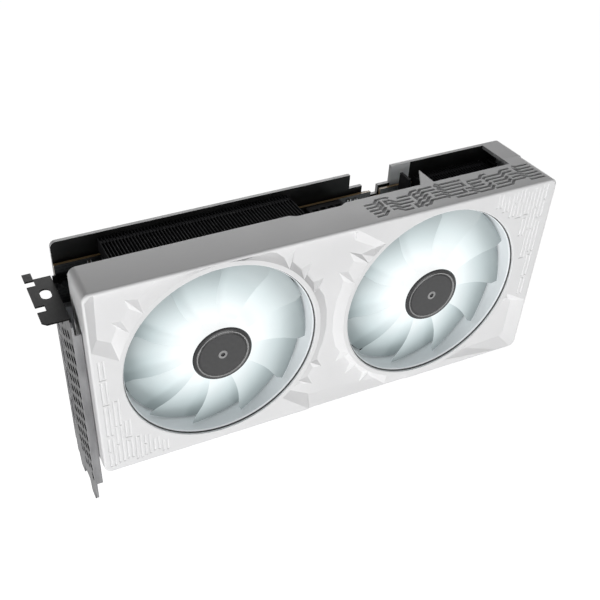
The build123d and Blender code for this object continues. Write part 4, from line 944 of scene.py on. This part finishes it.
def shroud_duct(mesh, centre):
    """Wall of one opening, with a ring of painted shade for the gap and the duct with a painted glow behind
    it.
    """
    rings = []
    for wider, depth, _ in DUCT_PROFILE:
        ring = circle(centre, OPENING_R + wider)
        rings.append([mesh.verts.new(at(u, v, depth)) for u, v in ring])
    for index in range(len(rings) - 1):
        strip(mesh, rings[index], rings[index + 1], DUCT_PROFILE[index][2])


def build_shroud(materials):
    """Front shroud as one closed shell."""
    mesh = bmesh.new()
    edge = shroud_face(mesh)
    border = shroud_walls(mesh, edge)
    shroud_top(mesh, border)
    shroud_back(mesh)
    for centre in (FAN_LEFT, FAN_RIGHT):
        shroud_duct(mesh, centre)
    bmesh.ops.remove_doubles(mesh, verts=mesh.verts, dist=0.002 * MM)
    piece = add_piece("shroud_skin", mesh, "card", materials, SHROUD_SHARP)
    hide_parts("front_shroud")


# -------- fans
BLADES = 11
BLADE_ROOT = (18.5, 23.0, 0.0)  # chord, pitch in degrees, sweep in degrees
BLADE_TIP = (41.0, 11.0, 14.0)
BLADE_SINK = 0.4
BLADE_SET_BACK = 9.4
BLADE_EASE = 0.9
BLADE_T = 1.3
BLADE_EDGE = 0.12
TIP_CLEARANCE = 0.1
TIP_TAPER = (0.85, 1.1)
BLADE_CAMBER = 0.04
BLADE_STATIONS = 9
CHORD_STATIONS = 9
HUB_R = 15.25
HUB_WALL = 1.6
HUB_RING_R = 12.6
CAP_LAP = 0.5


def blade_rows(mesh, x, z, tip_r, middle_y, start):
    """Closed twisted aerofoil with camber and a swept, rounded tip."""
    rows = []
    for station in range(BLADE_STATIONS):
        share = station / (BLADE_STATIONS - 1)
        radius = (HUB_R - BLADE_SINK) + (tip_r - HUB_R + BLADE_SINK) * share
        ease = share ** BLADE_EASE
        chord, pitch, sweep = (a + (b - a) * ease for a, b in zip(BLADE_ROOT, BLADE_TIP))
        if share > TIP_TAPER[0]:
            chord *= 1 - TIP_TAPER[1] * (share - TIP_TAPER[0])
        pitch = math.radians(pitch)
        row = []
        for side in (1, -1):
            for step in range(CHORD_STATIONS):
                along = step / (CHORD_STATIONS - 1) if side > 0 else 1 - step / (CHORD_STATIONS - 1)
                offset = (along - 0.5) * chord
                body = math.sqrt(max(0.0, along * (1 - along))) * BLADE_T + BLADE_EDGE
                lift = BLADE_CAMBER * chord * 4 * along * (1 - along) + side * body / 2
                tangent = offset * math.cos(pitch) + lift * math.sin(pitch)
                axial = -offset * math.sin(pitch) + lift * math.cos(pitch)
                turn = start + math.radians(sweep * ease) + tangent / radius
                across = x + radius * MM * math.sin(turn)
                up = z + radius * MM * math.cos(turn)
                row.append(mesh.verts.new((across, middle_y + axial * MM, up)))
        rows.append(row)
    for first, second in zip(rows, rows[1:]):
        strip(mesh, first, second)
    for row in (rows[0], rows[-1]):
        half = len(row) // 2
        for i in range(half - 1):
            mesh.faces.new((row[i], row[i + 1], row[-2 - i], row[-1 - i]))


def build_rotor(side, materials):
    """Blades round a cup-shaped hub with a pale ring and a seat for the disc."""
    low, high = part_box(f"{side}_fan_rotor")
    x, z = (low.x + high.x) / 2, (low.z + high.z) / 2
    tip_r = (high.x - low.x) / 2 / MM - TIP_CLEARANCE
    mesh = bmesh.new()
    middle_y = FRONT_Y + BLADE_SET_BACK * MM
    for index in range(BLADES):
        blade_rows(mesh, x, z, tip_r, middle_y, 2 * math.pi * index / BLADES)
    seat = (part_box(f"{side}_fan_hub_cap")[0].y - low.y) / MM + CAP_LAP
    deep = (high.y - low.y) / MM
    inside = HUB_R - HUB_WALL
    lathe(mesh, (x, z), low.y, [
        (0.2, seat, 1), (HUB_RING_R, seat, 1), (HUB_RING_R, 0.35, 2), (HUB_RING_R + 0.2, 0.05, 2),
        (HUB_RING_R + 0.75, 0.0, 1), (HUB_RING_R + 0.95, 0.15, 1), (HUB_R - 0.5, 0.2, 1), (HUB_R, 0.8, 0),
        (HUB_R, deep, 0), (inside, deep, 1), (inside, 1.8, 1), (2.2, 1.8, 1), (0.2, 1.8, 1),
    ])
    piece = add_piece(f"{side}_rotor_skin", mesh, f"{side}_fan", materials, ROTOR_SHARP)
    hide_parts(f"{side}_fan_rotor")


def build_hub_cap(side, materials):
    """Plain disc: a pale ring round a dark dimple in a dished centre."""
    low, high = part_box(f"{side}_fan_hub_cap")
    centre = (low.x + high.x) / 2, (low.z + high.z) / 2
    radius = (high.x - low.x) / 2 / MM
    deep = (high.y - low.y) / MM
    mesh = bmesh.new()
    lathe(mesh, centre, low.y, [
        (0.15, 0.35, 1), (1.1, 0.35, 1), (1.15, 0.02, 2), (1.3, 0.0, 2), (2.1, 0.0, 2), (2.3, 0.12, 0),
        (2.8, 0.14, 0), (5.0, 0.10, 0), (8.0, 0.10, 0), (radius - 0.9, 0.10, 1), (radius - 0.25, 0.12, 1),
        (radius, 0.3, 1), (radius, deep, 1), (0.15, deep, 1),
    ])
    piece = add_piece(f"{side}_hub_disc", mesh, f"{side}_fan", materials, ROTOR_SHARP)
    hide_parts(f"{side}_fan_hub_cap")


def hub_disc_grey():
    """Dark grey face whose colour and roughness drift with a noise."""
    made = Shader("hub_disc_grey", (0.03, 0.03, 0.031), 0.38)
    return made.vary((0.032, 0.032, 0.033), 500, 0.12, (0.32, 0.44)).bump(2600, 0.000006).material


# -------- small visible details, millimetres
TAB_PITCH = 1.6
TAB_GAP = 0.4
TAB_SIZE = (2.4, 0.5)  # along Y, along Z
TAB_ROWS = (5.2, 2.0)  # in from the stack's rear and from its front
GUSSET_U = 178.8
GUSSET_DROP = 0.6
GUSSET = (8.4, 14.5, 1.4)  # along X, along Y, along Z
PART_SEED = 3
PART_COUNT = 46
PART_START = 8
PART_PITCH = 3.6
PART_SHIFT = 0.6
PART_EDGE = 4
PART_DROPS = (2.6, 4.2, 6.0)
PART_SIZES = ((1.0, 0.5, 0.45), (1.6, 0.8, 0.7), (2.0, 1.2, 0.9))
PART_CAP = 0.22
CLEAR_X = ((0.068, 0.0945), (0.108, 0.118))  # stretches of the board left bare, in metres


def bar(mesh, low, high, material=0):
    """Box with its corners given, in metres."""
    xs, ys, zs = zip(low, high)
    vertices = [mesh.verts.new((x, y, z)) for x in xs for y in ys for z in zs]
    sides = ((0, 1, 3, 2), (4, 6, 7, 5), (0, 4, 5, 1), (2, 3, 7, 6), (0, 2, 6, 4), (1, 5, 7, 3))
    for face in fill(mesh, vertices, sides):
        face.material_index = material


def build_fin_tabs(material):
    """Folded locking tabs along the upper edge of the left and right fin stacks."""
    for place in ("left", "right"):
        low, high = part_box(f"fin_stack_{place}")
        pitch, gap = TAB_PITCH * MM, TAB_GAP * MM
        count = int((high.x - low.x) / pitch)
        mesh = bmesh.new()
        for row_y in (high.y - TAB_ROWS[0] * MM, low.y + TAB_ROWS[1] * MM):
            for index in range(count):
                x = low.x + index * pitch + gap
                end = (x + pitch - 2 * gap, row_y + TAB_SIZE[0] * MM, high.z)
                bar(mesh, (x, row_y, high.z - TAB_SIZE[1] * MM), end)
        add_piece(f"fin_tabs_{place}", mesh, "card", [material])


def build_gusset(white, black):
    """Triangular web and dark post at the left end of the opening behind the top edge."""
    mesh = bmesh.new()
    wide, deep, thick = GUSSET
    x0 = SHROUD_LOW.x + GUSSET_U * MM
    z1 = SHROUD_HIGH.z - GUSSET_DROP * MM
    y0 = FRONT_Y + (SIDE_DEPTH - GUSSET_DROP) * MM
    y1 = y0 + deep * MM
    corners = [(x0, y0, z1), (x0 + wide * MM, y0, z1), (x0 + wide * MM, y1, z1)]
    upper = [mesh.verts.new(c) for c in corners]
    lower = [mesh.verts.new((c[0], c[1], c[2] - thick * MM)) for c in corners]
    mesh.faces.new(upper)
    mesh.faces.new(lower[::-1])
    strip(mesh, upper, lower)
    add_piece("shroud_gusset", mesh, "card", [white], 30)
    mesh = bmesh.new()
    post_low = (x0 - 1.6 * MM, y1 - 6.0 * MM, z1 - 12.0 * MM)
    post_high = (x0 - 0.2 * MM, y1 + 2.0 * MM, z1 - 0.2 * MM)
    bar(mesh, post_low, post_high)
    add_piece("opening_post", mesh, "card", [black])


def build_small_parts(chip, tin):
    """Rows of tiny resistors and capacitors on the board's front, near its upper edge."""
    draw = random.Random(PART_SEED)
    mesh = bmesh.new()
    for index in range(PART_COUNT):
        shift = draw.uniform(-PART_SHIFT, PART_SHIFT)
        x = BOARD_LOW.x + (PART_START + PART_PITCH * index + shift) * MM
        bare = any(low < x < high for low, high in CLEAR_X)
        if bare or x > BOARD_HIGH.x - PART_EDGE * MM:
            continue
        z = BOARD_HIGH.z - draw.choice(PART_DROPS) * MM
        wide, tall, thick = draw.choice(PART_SIZES)
        front = BOARD_LOW.y - thick * MM
        cap = PART_CAP * wide * MM
        x1 = x + wide * MM
        z1 = z + tall * MM
        body_low = (x + 0.6 * cap, front + 0.03 * MM, z + 0.02 * MM)
        body_high = (x1 - 0.6 * cap, BOARD_LOW.y, z1 - 0.02 * MM)
        bar(mesh, (x, front, z), (x + cap, BOARD_LOW.y, z1), 1)
        bar(mesh, body_low, body_high)
        bar(mesh, (x1 - cap, front, z), (x1, BOARD_LOW.y, z1), 1)
    add_piece("board_small_parts", mesh, "card", [chip, tin])


# -------- stage
def seen_rays(tree):
    """1 for rays that show the background: straight to the camera, in a reflection or through glass."""
    paths = tree.nodes.new("ShaderNodeLightPath")
    total = paths.outputs["Is Camera Ray"]
    for kind in ("Is Glossy Ray", "Is Transmission Ray"):
        either = tree.nodes.new("ShaderNodeMath")
        either.operation = "MAXIMUM"
        tree.links.new(total, either.inputs[0])
        tree.links.new(paths.outputs[kind], either.inputs[1])
        total = either.outputs[0]
    return total


def build_stage():
    """Floor that takes shadows and looks white to the camera."""
    data = bpy.data.meshes.new("floor")
    half = STAGE_SIZE / 2
    corners = [(-half, -half, 0), (half, -half, 0), (half, half, 0), (-half, half, 0)]
    data.from_pydata(corners, [], [(0, 1, 2, 3)])
    floor = add_object("floor", data)
    floor.location.z = CAD_BOX[0].z - FLOOR_DROP
    material = bpy.data.materials.new("floor")
    material.use_nodes = True
    tree = material.node_tree
    tree.nodes.clear()
    seen = seen_rays(tree)
    diffuse = tree.nodes.new("ShaderNodeBsdfDiffuse")
    diffuse.inputs["Color"].default_value = (0.85, 0.85, 0.85, 1)
    glow = tree.nodes.new("ShaderNodeEmission")
    glow.inputs["Color"].default_value = (1, 1, 1, 1)
    strength = tree.nodes.new("ShaderNodeMath")
    strength.operation = "MULTIPLY"
    strength.inputs[1].default_value = FLOOR_GLOW
    tree.links.new(seen, strength.inputs[0])
    tree.links.new(strength.outputs[0], glow.inputs["Strength"])
    both = tree.nodes.new("ShaderNodeAddShader")
    tree.links.new(diffuse.outputs[0], both.inputs[0])
    tree.links.new(glow.outputs[0], both.inputs[1])
    output = tree.nodes.new("ShaderNodeOutputMaterial")
    tree.links.new(both.outputs[0], output.inputs["Surface"])
    data.materials.append(material)


def build_world():
    """White behind the card, with little light of its own."""
    world = bpy.data.worlds.new("studio")
    bpy.context.scene.world = world
    world.use_nodes = True
    tree = world.node_tree
    background = tree.nodes["Background"]
    strength = tree.nodes.new("ShaderNodeMapRange")
    strength.inputs["To Min"].default_value = WORLD_DIM
    strength.inputs["To Max"].default_value = 1.0
    tree.links.new(seen_rays(tree), strength.inputs["Value"])
    tree.links.new(strength.outputs["Result"], background.inputs["Strength"])
    background.inputs["Color"].default_value = (1, 1, 1, 1)


def add_lamp(name, place, aim, size, power):
    lamp = bpy.data.lights.new(name, "AREA")
    lamp.shape = "RECTANGLE"
    lamp.size, lamp.size_y = size
    lamp.energy = power
    made = add_object(name, lamp)
    made.location = place
    made.rotation_euler = (Vector(aim) - Vector(place)).to_track_quat("-Z", "Y").to_euler()


def build_lights():
    middle = (CAD_BOX[0] + CAD_BOX[1]) / 2
    for name, place, size, power in LAMPS:
        add_lamp(name, place, middle, size, power)


def build_camera():
    data = bpy.data.cameras.new("camera")
    data.lens = CAMERA_LENS
    data.sensor_width = CAMERA_SENSOR
    data.shift_x, data.shift_y = CAMERA_SHIFT
    data.clip_start, data.clip_end = CAMERA_CLIP
    camera = add_object("camera", data)
    camera.location = CAMERA_PLACE
    camera.rotation_euler = Euler([math.radians(a) for a in CAMERA_TURN])
    bpy.context.scene.camera = camera


def bevel_nodes():
    """Small rounds on the CAD pieces whose edges show."""
    rounds = {"backplate": 0.25, "io_bracket": 0.12, "pcb": 0.08, "power_connector": 0.15}
    for name, width in rounds.items():
        modifier = NODES[name].modifiers.new("edge_round", "BEVEL")
        modifier.width = width * MM
        modifier.segments = 2
        modifier.limit_method = "ANGLE"
        modifier.angle_limit = math.radians(40)


build_camera()
build_stage()
build_world()
build_lights()
dress_nodes()
bevel_nodes()
WHITE = white_plastic()
HUB_BLACK = polymer("hub_black", (0.009, 0.009, 0.010), 0.25, 600)
HUB_LIGHT = polymer("hub_light_ring", (0.28, 0.28, 0.28), 0.4, 900)
build_shroud([WHITE, groove_plastic(), duct_painted_glow(), gap_painted_shade()])
DISC_GREY = hub_disc_grey()
for fan_side in ("left", "right"):
    build_rotor(fan_side, [fan_blades_painted_glow(fan_side), HUB_BLACK, HUB_LIGHT])
    build_hub_cap(fan_side, [DISC_GREY, HUB_BLACK, HUB_LIGHT])
FINS = NODES["fin_stack_left"].data.materials[0]
build_fin_tabs(FINS)
build_gusset(WHITE, FINS)
PART_BODY = polymer("part_body", (0.05, 0.04, 0.03), 0.5, 900)
PART_TIN = metal("part_tin", (0.6, 0.6, 0.6), 0.3, 900)
build_small_parts(PART_BODY, PART_TIN)

bpy.context.scene.view_settings.view_transform = "Standard"
